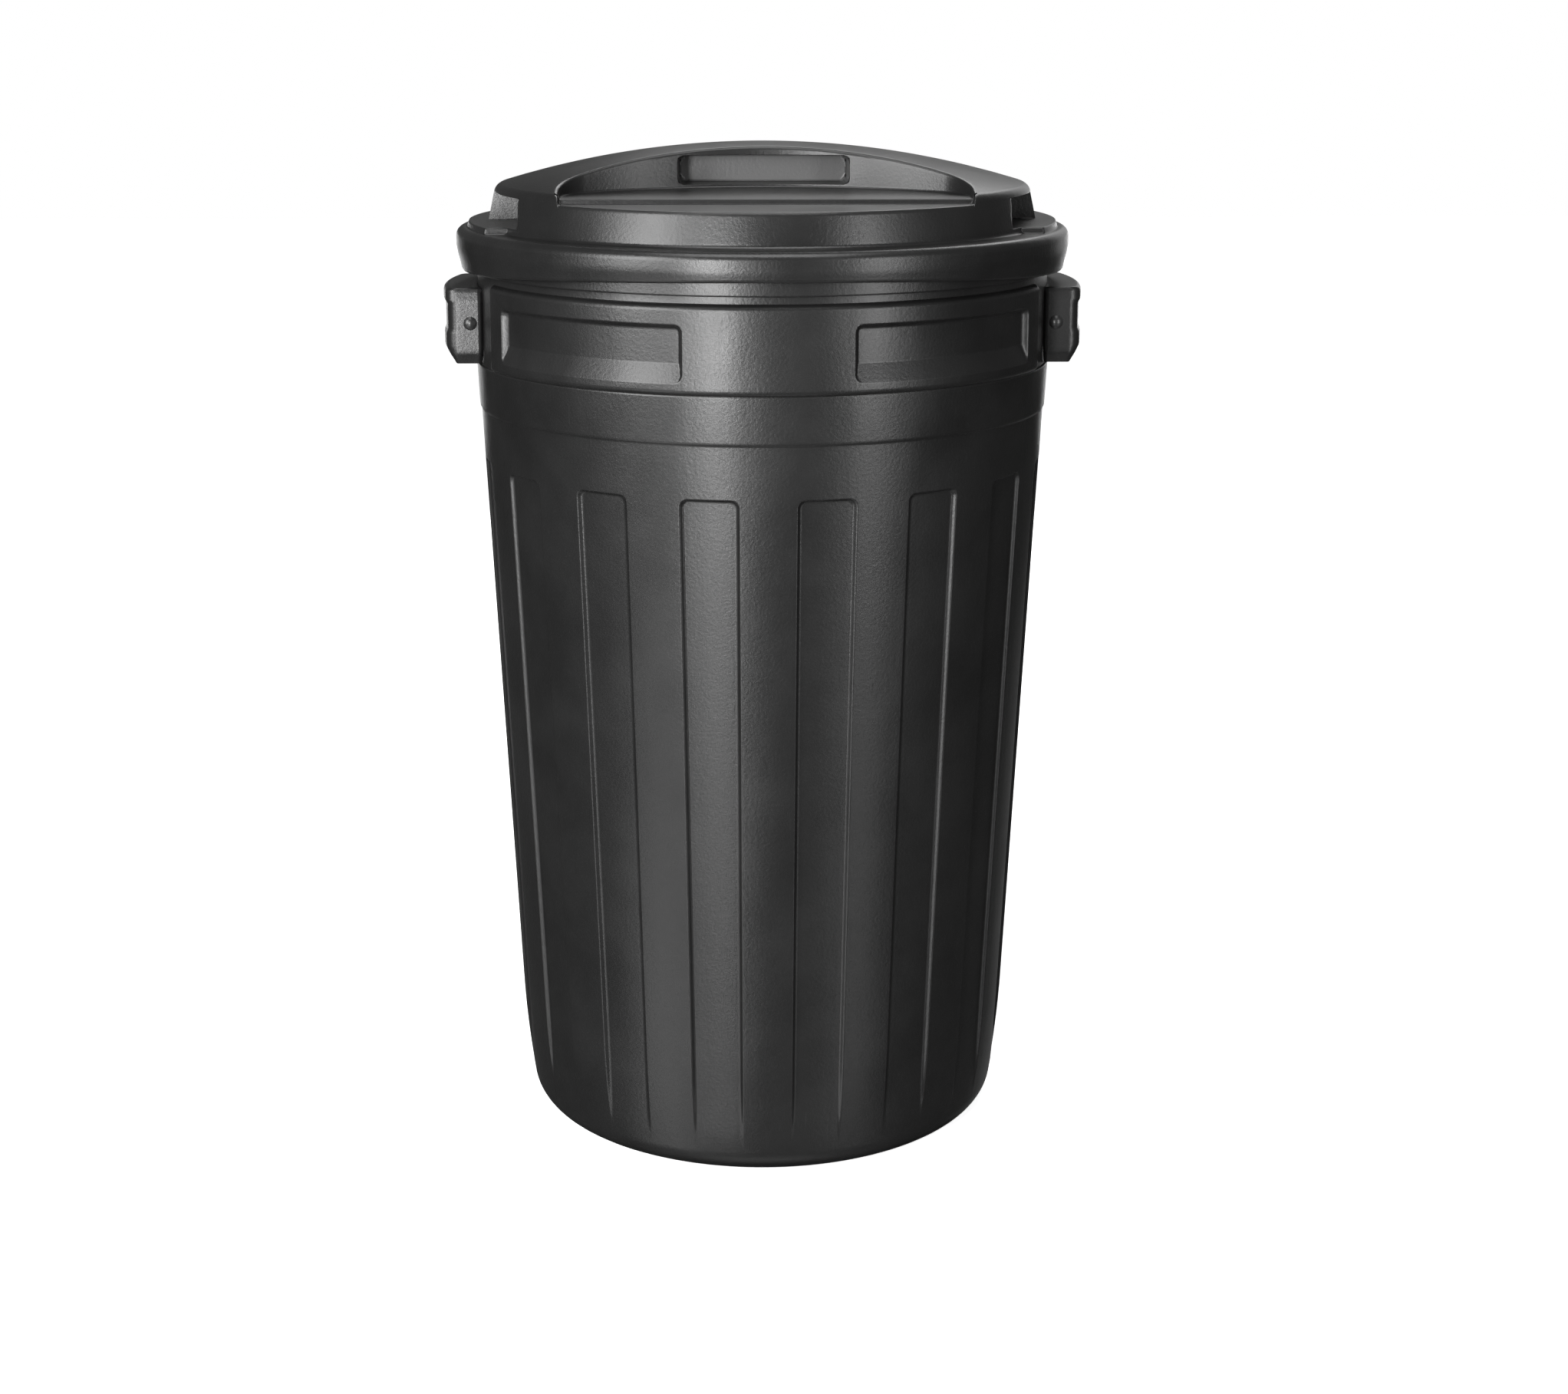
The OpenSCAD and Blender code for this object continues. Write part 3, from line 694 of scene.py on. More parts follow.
    def panel_depth(self, fold: np.ndarray, height: np.ndarray) -> np.ndarray:
        """Depth of a belt panel at a point, with its sloped lower wall.

        Args:
            fold: degrees from the nearer of front and rear.
            height: height of the point.

        Returns:
            How far the point is sunk into the belt.
        """
        middle = (self.panel_start + self.panel_end) / 2
        half = self.belt_radius * math.radians(self.panel_end - self.panel_start) / 2
        along = self.belt_radius * np.radians(fold - middle)
        within = inside_rounded(along, height, half, self.panel_bottom, self.panel_top,
                                self.panel_corner)
        width = blend(self.panel_edge, self.panel_end_edge, ease(along / half))
        sloped = np.clip((height - self.panel_bottom) / self.panel_slope, 0.0, 1.0)
        return self.panel_sink * np.minimum(ease(within / width), sloped)

    def shell(self) -> np.ndarray:
        """Grid of the whole tub, outside and inside.

        Returns:
            Rows along the section by columns around.
        """
        azimuth = self.azimuths()
        fold = np.degrees(np.arcsin(np.abs(np.sin(np.radians(azimuth)))))[None]
        belt, beside = self.outside()
        to_end = (self.belt_half_angle - fold) * math.radians(1.0) * self.belt_radius
        share = np.sqrt(1.0 - (1.0 - np.clip(to_end / self.belt_round, 0.0, 1.0)) ** 2)
        radius = blend(beside[:, :1], belt[:, :1], share)
        height = blend(beside[:, 1:], belt[:, 1:], share)
        near_panel = (height > self.panel_bottom - 1.0) & (height < self.panel_top + 1.0)
        on_belt = near_panel & (radius > self.collar_radius)
        radius = radius - np.where(on_belt, self.panel_depth(fold, height), 0.0)
        cone = self.wall_radius(height) - self.flute_depth * self.norm
        sunk = np.where(radius < self.stand_radius + 10.0, 0.0, np.maximum(radius - cone, 0.0))
        sunk = sunk * self.flute_share(fold, height, 0.0)
        fluted_top = self.collar_bottom - 2.0
        radius = radius - np.where(height < fluted_top, sunk, 0.0)
        inside = self.inside()
        in_r, in_z = np.broadcast_arrays(inside[:, :1], inside[:, 1:] + 0.0 * fold)
        cone = self.wall_radius(in_z) - (self.flute_depth + self.wall) * self.norm
        sunk = np.where(in_z < fluted_top, np.maximum(in_r - cone, 0.0), 0.0)
        in_r = in_r - sunk * self.flute_share(fold, in_z, self.wall)
        return around(np.concatenate([radius, in_r]), azimuth[None], np.concatenate([height, in_z]))

    def ears(self, skin: Skin, reach: float, half_length: float, pin_height: float) -> None:
        """Adds the four ears that the handle pins go into.

        Args:
            skin: gets the ears.
            reach: distance of the pins from the axis of the tub.
            half_length: distance from the middle of a handle to the outer face of an ear.
            pin_height: height of the pins.
        """
        turn = np.radians(np.linspace(-90.0, 90.0, 17))
        size = self.ear_radius
        z = pin_height + np.concatenate([[-size], size * np.sin(turn), [size]])
        inner = half_length - self.ear_width
        rows = []
        for y, scale in ((inner, 0.0), (inner, 1.0), (half_length, 1.0), (half_length, 0.0)):
            root = math.sqrt((self.collar_radius - self.wall / 2) ** 2 - y**2)
            x = np.concatenate([[root], reach + size * np.cos(turn), [root]])
            rows.append(np.stack([
                blend(reach, x, scale), np.full(x.size, y), blend(pin_height, z, scale)], axis=1))
        skin.quarters(np.stack(rows), closed=True)

    def ribs_and_hub(self, skin: Skin) -> None:
        """Adds the radial ribs under the floor and the ring that they meet in.

        Args:
            skin: gets the ribs and the ring.
        """
        low = self.rib_clear
        for rib in range(self.ribs):
            skin.block((self.hub_radius - 2.0, -self.rib_half, low),
                       (self.stand_radius + 2.0, self.rib_half, self.floor_lift + 1.5),
                       rib * 360.0 / self.ribs)
        outer = self.hub_radius
        inner = outer - self.hub_wall
        top = self.floor_lift + 1.0
        skin.turned(np.array([
            [inner, top], [inner, low + 0.3], [inner + 0.3, low], [outer - 0.3, low],
            [outer, low + 0.3], [outer, top], [inner, top]]), 72)

    def build(self, handle: "Handle", material: bpy.types.Material) -> bpy.types.Object:
        """Makes the tub.

        Args:
            handle: the handle that the ears are for.
            material: the finish.

        Returns:
            The dressed object.
        """
        skin = Skin()
        skin.grid(self.shell(), closed=True)
        self.ribs_and_hub(skin)
        self.ears(skin, handle.pin_reach, handle.half_length - handle.end_wall, handle.pin_height)
        piece = skin.build("tub_shell")
        dress(piece, material, Body.TUB, ["tub"])
        return piece


# lid


# the parts of a scoop's wall that a row can be in
FLOOR_BEND, WALL, DOME_BEND = range(3)


@dataclass(frozen=True)
class ScoopRows:
    """The rows across a scoop's wall, from its floor to the dome.

    Attributes:
        part: FLOOR_BEND, WALL or DOME_BEND for each row.
        offset: distance of each row from the scoop's outline.
        rise: height above the floor on the lower bend.
        drop: depth below the dome on the upper bend.
        share: share of the wall's height.
        level: height that a row of the wall keeps to beside the pocket.
        low: radius of the lower bend.
        high: radius of the upper bend.
    """

    part: np.ndarray
    offset: np.ndarray
    rise: np.ndarray
    drop: np.ndarray
    share: np.ndarray
    level: np.ndarray
    low: float
    high: float


@dataclass(frozen=True)
class RingColumns:
    """The columns of the ring around the top, from the side to the front.

    Attributes:
        deep: depths of the columns beside the side recesses.
        between: shares of the columns between those and the scoop.
        wall: distances from the middle of the columns in the scoop's wall.
        front: distances from the middle of the columns in front of the scoop.
    """

    deep: np.ndarray
    between: np.ndarray
    wall: np.ndarray
    front: np.ndarray

    @property
    def count(self) -> int:
        """Number of all the columns."""
        return self.deep.size + self.between.size + self.wall.size + self.front.size


@dataclass
class Lid:
    """The lift-off lid with its dome, scoops, bar grip, side recesses and skirt.

    One quarter is modelled, at +X and -Y, and mirrored three times.
    """

    radius: float
    top: float
    rim_top: float
    wall: float = 2.8
    # the rolled edge, and the arched skirt with the lip along its lower edge
    roll: float = 7.0
    skirt_side: float = 34.3
    skirt_front: float = 22.5
    skirt_lean: float = 4.5
    skirt_straight: float = 16.0
    arch_inset: float = 4.0
    lip_width: float = 2.4
    lip_height: float = 4.2
    # the flange and the pads that are raised on it at the sides
    flange_width: float = 25.4
    flange_rows: tuple[float, ...] = (230.0, 236.0, 238.6, 239.4, 239.9, 240.4, 240.9, 241.5)
    pad_height: float = 4.7
    pad_half: float = 98.0
    pad_radius: float = 241.0
    pad_end_ramp: float = 1.2
    pad_ramp: float = 1.6
    # the crown's wall, its rounded shoulder and the dome
    crown_height: float = 27.2
    crown_lean: float = 5.9
    crown_fillet: float = 3.5
    shoulder: float = 9.0
    dome_radius: float = 730.0
    # the plug ring underneath
    plug_depth: float = 16.0
    plug_wall: float = 2.4
    plug_edge: float = 0.5
    # the scoops, and the crescent in front of each
    scoop_half: float = 159.0
    scoop_back: float = 45.0
    scoop_arc: float = 250.0
    scoop_corner: float = 42.0
    scoop_front: float = 140.0
    scoop_lift: float = 2.9
    scoop_rise: float = 2.5
    crescent_drop: float = 0.6
    step_inset: float = 3.0
    draft: float = 0.8
    foot_fillet: float = 1.8
    top_fillet: float = 2.5
    inner_fillet: float = 1.2
    # the finger pockets, and where the rows beside them spread out again
    pocket_half: float = 68.5
    pocket_lift: float = 7.9
    pocket_height: float = 23.2
    pocket_back: float = 22.0
    pocket_corner: float = 7.0
    pocket_reach: float = 80.0
    level_half: float = 78.0
    level_fade: float = 26.0
    # the side recesses
    side_half: float = 112.0
    side_cut: float = 32.0
    side_head: float = 1.0
    side_rib: float = 12.0
    side_edge: float = 0.35
    side_clear: float = 1.2
    # where the top passes to the ring around it, the distances of the rows that lie
    # close to that ring, and the width over which they fade out
    outer_split: float = 213.5
    inner_split: float = 212.5
    border_rows: tuple[float, ...] = (6.0, 4.4, 3.0, 1.9, 0.9, 0.0)
    border_fade: float = 18.0

    def __post_init__(self) -> None:
        """Works out the heights, radii and centres that follow from the sizes."""
        self.flange_top = self.rim_top + self.wall
        self.foot_radius = self.radius - self.flange_width
        self.crown_edge = self.flange_top + self.crown_height
        self.slope = self.crown_lean / self.crown_height
        self.norm = math.hypot(1.0, self.slope)
        self.dome_z = self.top - self.dome_radius
        offset = self.foot_radius + self.slope * self.flange_top - self.shoulder * self.norm
        span = self.dome_radius - self.shoulder
        a = 1.0 + self.slope**2
        b = -2.0 * (self.slope * offset + self.dome_z)
        c = offset**2 + self.dome_z**2 - span**2
        self.shoulder_z = (-b + math.sqrt(b * b - 4 * a * c)) / (2 * a)
        self.shoulder_r = offset - self.slope * self.shoulder_z
        self.shelf_z = self.crown_edge + self.scoop_lift
        self.crescent_z = self.crown_edge - self.crescent_drop
        self.seat_z = self.flange_top + self.pad_height
        self.pocket_low = self.crown_edge + self.pocket_lift
        self.pocket_high = self.pocket_low + self.pocket_height
        self.side_plane = self.foot_radius - self.side_cut
        self.arc_y = -(self.scoop_back + self.scoop_arc)
        self.corner_x = self.scoop_half - self.scoop_corner
        corner_span = self.scoop_arc - self.scoop_corner
        self.corner_y = self.arc_y + math.sqrt(corner_span**2 - self.corner_x**2)
        self.corner_turn = math.degrees(math.atan2(self.corner_x, self.corner_y - self.arc_y))

    def wall_radius(self, height: Values, inset: float) -> np.ndarray:
        """Radius of the crown wall at a height."""
        return self.foot_radius - inset * self.norm + self.slope * (self.flange_top - height)

    def dome(self, radius: np.ndarray, inset: float) -> np.ndarray:
        """Height of the dome and of the shoulder around it.

        Args:
            radius: distance from the axis.
            inset: 0 for the outside of the lid, its wall thickness for the inside.

        Returns:
            The height at each radius.
        """
        size, rounding = self.dome_radius - inset, self.shoulder - inset
        meet = size * self.shoulder_r / (self.dome_radius - self.shoulder)
        sphere = self.dome_z + np.sqrt(size**2 - np.minimum(radius, meet) ** 2)
        beyond = np.maximum(radius - self.shoulder_r, 0.0)
        rounded = self.shoulder_z + np.sqrt(np.maximum(rounding**2 - beyond**2, 0.0))
        return np.where(radius <= meet, sphere, rounded)

    def crown_radius(self, height: np.ndarray, inset: float) -> np.ndarray:
        """Radius of the crown wall and of the shoulder above it.

        Args:
            height: height of each point.
            inset: 0 for the outside of the lid, its wall thickness for the inside.

        Returns:
            The radius at each height.
        """
        rounding = self.shoulder - inset
        above = np.clip(height - self.shoulder_z, 0.0, rounding)
        rounded = self.shoulder_r + np.sqrt(rounding**2 - above**2)
        tangent = self.shoulder_z + rounding * self.slope / self.norm
        return np.where(height > tangent, rounded, self.wall_radius(height, inset))

    def recess_head(self, inset: float) -> float:
        """Height of the upper edge of a side recess, kept below the edge of the top.

        Args:
            inset: 0 for the outside of the lid, its wall thickness for the inside.

        Returns:
            The height.
        """
        rounding = self.shoulder - inset
        beyond = self.split_radius(inset) - self.shoulder_r
        limit = self.shoulder_z + math.sqrt(rounding**2 - beyond**2) - self.side_clear
        return min(self.crown_edge + self.side_head + inset, limit)

    def step_line(self, inset: float) -> float:
        """Distance of the front edge of a scoop's floor from the middle of the lid."""
        return self.scoop_front - (self.step_inset if inset else 0.0)

    def floor(self, y: np.ndarray, inset: float) -> np.ndarray:
        """Height of a scoop's floor and of the crescent in front of it.

        Args:
            y: depth of each point, negative towards the front.
            inset: 0 for the outside of the lid, its wall thickness for the inside.

        Returns:
            The height at each point.
        """
        line = self.step_line(inset)
        incline = self.scoop_rise / (self.scoop_front - self.scoop_back)
        shelf = self.shelf_z - inset + (y + line) * incline
        return blend(self.crescent_z - inset, shelf, ease(y + line + 0.5))

    def split_radius(self, inset: float) -> float:
        """Radius where the top of the lid passes to the ring around it."""
        return self.inner_split if inset else self.outer_split

    def scoop_profile(self, inset: float) -> ScoopRows:
        """Rows across a scoop's wall, from its floor to the dome.

        Args:
            inset: 0 for the outside of the lid, its wall thickness for the inside.

        Returns:
            The rows.
        """
        low = self.inner_fillet if inset else self.foot_fillet
        high = self.inner_fillet if inset else self.top_fillet
        turn = np.radians(np.linspace(0.0, 90.0, 5))
        floor_y = -self.scoop_back + inset
        start = float(self.floor(np.array(floor_y), inset)) + low
        end = float(self.dome(np.array(self.scoop_back), inset)) - high
        z1 = self.pocket_low - inset
        z2 = self.pocket_high + inset
        near = np.array([0.0, 0.35, 0.8, 1.4, 2.8, 4.8, 7.2])
        levels = np.concatenate([
            [z1 - 0.25], z1 + near, [(z1 + z2) / 2], z2 - near[::-1], [z2 + 0.25]])
        share = (levels - start) / (end - start)
        offset = np.concatenate([
            -low + low * np.sin(turn), self.draft * share,
            self.draft + high * (1.0 - np.cos(turn))]) + inset
        bend, wall = np.zeros(turn.size), np.zeros(levels.size)
        return ScoopRows(
            part=np.concatenate([bend + FLOOR_BEND, wall + WALL, bend + DOME_BEND]),
            offset=offset,
            rise=np.concatenate([low * (1.0 - np.cos(turn)), wall, bend]),
            drop=np.concatenate([bend, wall, high * (1.0 - np.sin(turn))]),
            share=np.concatenate([bend, share, bend + 1.0]),
            level=np.concatenate([bend, levels, bend]), low=low, high=high)

    def outline_turns(self) -> tuple[np.ndarray, np.ndarray]:
        """Angles of the columns along a scoop's outline.

        Returns:
            Degrees along the curved wall and degrees around its corner.
        """
        edge = math.degrees(math.asin(self.pocket_half / self.scoop_arc))
        corner = math.degrees(math.asin((self.pocket_half - self.pocket_corner) / self.scoop_arc))
        along = np.concatenate([
            np.linspace(0.0, corner - 0.4, 16), np.linspace(corner, edge - 0.42, 8),
            edge + np.array([-0.32, -0.18, -0.08, 0.0, 0.08]),
            np.linspace(edge + 0.5, self.corner_turn, 20)])
        return along, np.linspace(self.corner_turn, 90.0, 22)[1:]

    def side_rows(self, x: np.ndarray, start: np.ndarray, inset: float) -> np.ndarray:
        """Depths of the rows from a scoop's outline to the ring around the top.

        Args:
            x: distance of each column from the middle plane.
            start: depth at which each column starts.
            inset: 0 for the outside of the lid, its wall thickness for the inside.

        Returns:
            Rows by columns of y, the first row at start.
        """
        line = -self.step_line(inset)
        end = -np.sqrt(self.split_radius(inset) ** 2 - x**2)
        reference = -math.sqrt(self.split_radius(inset) ** 2 - (self.scoop_half + inset - 1.5) ** 2)
        rows = [blend(start, line + 0.5, share) for share in np.linspace(0.0, 1.0, 6)]
        rows += [np.full_like(x, line + step) for step in (0.25, 0.0, -0.25, -0.5)]
        rows += [blend(line - 0.5, end, share) for share in (0.34, 0.67, 1.0)]
        plain = np.stack(rows)
        squeeze = np.where(end > reference, (end - start) / (reference - start), 1.0)
        return start + (plain - start) * squeeze

    def scoop_ribbon(self, inset: float) -> tuple[np.ndarray, np.ndarray]:
        """Grid across the wall of a scoop, with the finger pocket sunk into it.

        Args:
            inset: 0 for the outside of the lid, its wall thickness for the inside.

        Returns:
            Rows from the floor to the dome by columns along the outline, and each
            row's share of the wall where it meets the ring around the top.
        """
        profile = self.scoop_profile(inset)
        offset = profile.offset[:, None]
        along, corner = (np.radians(turns)[None] for turns in self.outline_turns())
        arc_x = (self.scoop_arc + offset) * np.sin(along)
        arc_y = self.arc_y + (self.scoop_arc + offset) * np.cos(along)
        corner_x = self.corner_x + (self.scoop_corner + offset) * np.sin(corner)
        corner_y = self.corner_y + (self.scoop_corner + offset) * np.cos(corner)
        straight_x = self.scoop_half + profile.offset
        start_y = np.full_like(straight_x, self.corner_y)
        straight_y = self.side_rows(straight_x, start_y, inset)[1:].T
        straight_x = np.repeat(straight_x[:, None], straight_y.shape[1], axis=1)
        x = np.concatenate([arc_x, corner_x, straight_x], axis=1)
        y = np.concatenate([arc_y, corner_y, straight_y], axis=1)
        floor = self.floor(y, inset)
        dome = self.dome(np.hypot(x, y), inset)
        fit = np.clip((dome - floor) / (profile.low + profile.high + 1.0), 0.0, 1.0)
        start = floor + profile.low * fit
        end = dome - profile.high * fit
        even = blend(start, end, profile.share[:, None])
        aimed = np.minimum(profile.level[:, None], end - 0.05)
        away = ease((x - self.level_half) / self.level_fade)
        part = profile.part[:, None]
        lower_bend = floor + profile.rise[:, None] * fit
        upper_bend = dome - profile.drop[:, None] * fit
        wall = blend(aimed, even, away)
        z = np.select([part == FLOOR_BEND, part == DOME_BEND], [lower_bend, upper_bend], wall)
        within = inside_rounded(x, z, self.pocket_half + inset, self.pocket_low - inset,
                                self.pocket_high + inset, self.pocket_corner + 0.4 * inset)
        sunk = np.where((part == WALL) & (y > -self.pocket_reach), ease(within), 0.0)
        y = blend(y, -self.pocket_back + inset, sunk)
        ending = (z[:, -1] - floor[0, -1]) / (dome[-1, -1] - floor[0, -1])
        return np.stack([x, y, z], axis=-1), np.clip(ending, 0.0, 1.0)

    def scoop_floor(self, ribbon: np.ndarray, inset: float) -> np.ndarray:
        """Grid of a scoop's floor and the crescent in front of it.

        Args:
            ribbon: the grid of the scoop's wall.
            inset: 0 for the outside of the lid, its wall thickness for the inside.

        Returns:
            Rows from the wall to the ring by columns across the scoop.
        """
        along, corner = self.outline_turns()
        first = ribbon[0, : along.size + corner.size]
        y = self.side_rows(first[:, 0], first[:, 1], inset)
        x = np.repeat(first[None, :, 0], y.shape[0], axis=0)
        return np.stack([x, y, self.floor(y, inset)], axis=-1)

    def ring_columns(self, inset: float) -> RingColumns:
        """Columns of the ring around the top, from the side to the front.

        Args:
            inset: 0 for the outside of the lid, its wall thickness for the inside.

        Returns:
            The columns.
        """
        rib = self.side_rib - inset
        end = self.side_half + inset
        pad = self.pad_half
        deep = np.concatenate([
            [0.0, rib / 2, rib - 1.5], rib + np.array([-0.3, 0.0, 0.15, 0.35, 0.55, 1.0, 2.5, 6.0]),
            np.linspace(rib + 14.0, pad - 10.0, 8),
            pad + np.array([-4.0, -1.2, -0.8, -0.4, 0.0, 0.6, 3.0]),
            np.linspace(pad + 7.0, end - 3.0, 3), end + np.array([-0.8, -0.3, 0.0, 0.4, 3.0])])
        profile = self.scoop_profile(inset)
        along, corner = (np.radians(turns) for turns in self.outline_turns())
        first = profile.offset[0]
        front = np.concatenate([(self.scoop_arc + first) * np.sin(along),
                                self.corner_x + (self.scoop_corner + first) * np.sin(corner)])
        return RingColumns(deep=deep, between=np.linspace(0.0, 1.0, 9)[1:-1],
                           wall=self.scoop_half + profile.offset[::-1], front=front[::-1][1:])

    def ring_azimuths(self, radius: np.ndarray, inset: float) -> np.ndarray:
        """Azimuths of the ring's columns at each radius.

        Args:
            radius: rows by columns of the radius.
            inset: 0 for the outside of the lid, its wall thickness for the inside.

        Returns:
            Rows by columns of degrees from the front.
        """
        sets = self.ring_columns(inset)
        last = sets.deep.size
        middle = last + sets.between.size
        wall = middle + sets.wall.size
        deep = np.degrees(np.arccos(sets.deep[None] / radius[:, :last]))
        wall_turns = np.degrees(np.arcsin(sets.wall[None] / radius[:, middle:wall]))
        front = np.degrees(np.arcsin(sets.front[None] / radius[:, wall:]))
        between = blend(deep[:, -1:], wall_turns[:, :1], sets.between[None])
        return np.concatenate([deep, between, wall_turns, front], axis=1)

    def crown_ring(self, inset: float, ending: np.ndarray) -> np.ndarray:
        """Grid from the edge of the top over the shoulder and down the crown wall.

        Args:
            inset: 0 for the outside of the lid, its wall thickness for the inside.
            ending: share of the scoop's wall at each of its columns.

        Returns:
            Rows from the top to the flange by columns from the side to the front.
        """
        sets = self.ring_columns(inset)
        plain = sets.deep.size + sets.between.size
        share = np.concatenate([np.ones(plain), ending[::-1], np.zeros(sets.front.size)])[None]
        split = self.split_radius(inset)
        rounding = self.shoulder - inset
        tilt = math.degrees(math.atan(self.slope))
        start = math.degrees(math.acos((split - self.shoulder_r) / rounding))
        recess_top = self.recess_head(inset)
        recess_low = self.seat_z - inset
        last = math.degrees(math.asin((recess_top + 0.5 - self.shoulder_z) / rounding))
        over = arc((self.shoulder_r, self.shoulder_z), rounding, start, last, 9)
        foot = self.flange_top - inset
        fillet = self.crown_fillet
        edge = np.array([0.3, 0.0, -0.15, -0.4, -0.7, -2.0])
        levels = np.concatenate([
            recess_top + edge,
            np.linspace(recess_top - 5.0, recess_low + 5.0, 4), recess_low - edge[::-1],
            [blend(recess_low, foot + fillet, 0.5), foot + fillet]])
        wall = np.stack([self.crown_radius(levels, inset), levels], axis=1)
        if inset:
            bend = np.array([[wall[-1, 0] + 0.1, foot]])
        else:
            bend = arc((wall[-1, 0] + fillet, foot + fillet), fillet, 192.0, 270.0, 8)
        dome_side = np.concatenate([over, wall, bend])
        flat = self.crescent_z - inset
        lip = self.wall_radius(flat, inset)
        rounded = arc((lip - 1.6, flat - 1.6), 1.5, 90.0, tilt, 5)
        across = np.linspace(split, rounded[0, 0], 5)[:-1]
        crescent = np.concatenate([np.stack([across, np.full(4, flat)], axis=1), rounded])
        low_levels = np.linspace(rounded[-1, 1] - 0.8, foot + fillet, levels.size)
        low_wall = np.stack([self.wall_radius(low_levels, inset), low_levels], axis=1)
        front_side = np.concatenate([crescent, low_wall, bend])
        radius = blend(front_side[:, :1], dome_side[:, :1], share)
        height = blend(front_side[:, 1:], dome_side[:, 1:], share)
        points = around(radius, self.ring_azimuths(radius, inset), height)
        return self.side_recess(points, inset)

    def side_recess(self, points: np.ndarray, inset: float) -> np.ndarray:
        """Sinks the side recesses into the crown wall and lifts the seat under them.

        Args:
            points: grid of the crown wall.
            inset: 0 for the outside of the lid, its wall thickness for the inside.

        Returns:
            The changed grid.
        """
        x, y, z = (points[..., i] for i in range(3))
        deep = np.abs(y)
        low = self.seat_z - inset
        high = self.recess_head(inset)
        within = np.minimum(np.minimum(deep - self.side_rib + inset, self.side_half + inset - deep),
                            np.minimum(z - low, high - z))
        sunk = ease(within / self.side_edge) * (x > self.side_plane)
        x = blend(x, np.minimum(x, self.side_plane - inset), sunk)
        if not inset:
            seat = blend(self.flange_top, low, self.pad_share(y, np.zeros_like(y)))
            z = np.maximum(z, np.where(x > self.side_plane - 1.0, seat, z))
        return np.stack([x, y, z], axis=-1)

    def pad_share(self, y: np.ndarray, radius: np.ndarray) -> np.ndarray:
        """How far the flange is lifted to the pad, from 0 to 1."""
        along = ease((self.pad_half - np.abs(y)) / self.pad_end_ramp)
        return along * ease((self.pad_radius - radius) / self.pad_ramp)

    def outer_ring(self) -> np.ndarray:
        """Grid of the flange, rolled edge and skirt, ending under the flange.

        Returns:
            Rows by columns from the side to the front.
        """
        columns = self.ring_columns(0.0).count
        top = self.flange_top
        roll_r = self.radius - self.roll
        flange_r = np.array(self.flange_rows)
        flange = np.stack([flange_r, np.full(flange_r.size, top)], axis=1)
        rolled = arc((roll_r, top - self.roll), self.roll, 90.0, 0.0, 11)
        rows = [np.repeat(row[None], columns, axis=0) for row in np.concatenate([flange, rolled])]
        start = top - self.roll
        straight = top - self.skirt_straight
        bottom = top - self.skirt_side
        azimuth = self.ring_azimuths(np.full((1, columns), self.radius), 0.0)[0]
        arch = top - self.skirt_front
        drop = arch - bottom
        arch_half = self.radius - self.arch_inset
        arch_radius = (arch_half**2 + drop**2) / (2 * drop)
        across = arch_half * np.sin(np.radians(azimuth))
        edge = arch - arch_radius + np.sqrt(arch_radius**2 - across**2)

        def skirt_radius(height: np.ndarray) -> np.ndarray:
            """Radius of the skirt's outside at a height."""
            lean = np.clip((straight - height) / (straight - bottom), 0.0, 1.0)
            return self.radius - self.skirt_lean * lean

        for share in (0.3, 0.55, 0.8, 1.0):
            height = blend(start, edge + self.lip_height, share)
            rows.append(np.stack([skirt_radius(height), height], axis=1))
        lip_r = skirt_radius(edge + self.lip_height) - self.lip_width
        for turn in np.radians(np.linspace(-15.0, -90.0, 6)):
            rows.append(np.stack([lip_r + self.lip_width * math.cos(turn),
                                  edge + self.lip_height * (1.0 + math.sin(turn))], axis=1))
        for share in (1.0, 0.7, 0.35):
            height = blend(start, edge + 0.4, share)
            rows.append(np.stack([skirt_radius(height) - self.wall, height], axis=1))
        under = arc((roll_r, start), self.roll - self.wall, 0.0, 90.0, 6)
        rows += [np.repeat(row[None], columns, axis=0) for row in under]
        section = np.stack(rows)
        points = around(section[..., 0], self.ring_azimuths(section[..., 0], 0.0), section[..., 1])
        on_flange = points[: flange_r.size]
        raised = self.pad_share(on_flange[..., 1], section[: flange_r.size, :, 0])
        on_flange[..., 2] += raised * self.pad_height
        return points

    def under_flange(self) -> np.ndarray:
        """Grid under the flange, where the columns pass to those of the inside.

        Returns:
            Rows from the skirt inwards by columns from the side to the front.
        """
        columns = self.ring_columns(0.0).count
        height = self.flange_top - self.wall
        end = float(self.wall_radius(height, self.wall)) + 1.0
        rows = []
        for share in (0.25, 0.5, 0.75, 1.0):
            radius = np.full((1, columns), blend(self.radius - self.roll, end, share))
            outside, inside = (self.ring_azimuths(radius, inset) for inset in (0.0, self.wall))
            azimuth = blend(outside, inside, share)
            rows.append(around(radius, azimuth, np.full((1, columns), height))[0])
        return np.stack(rows)

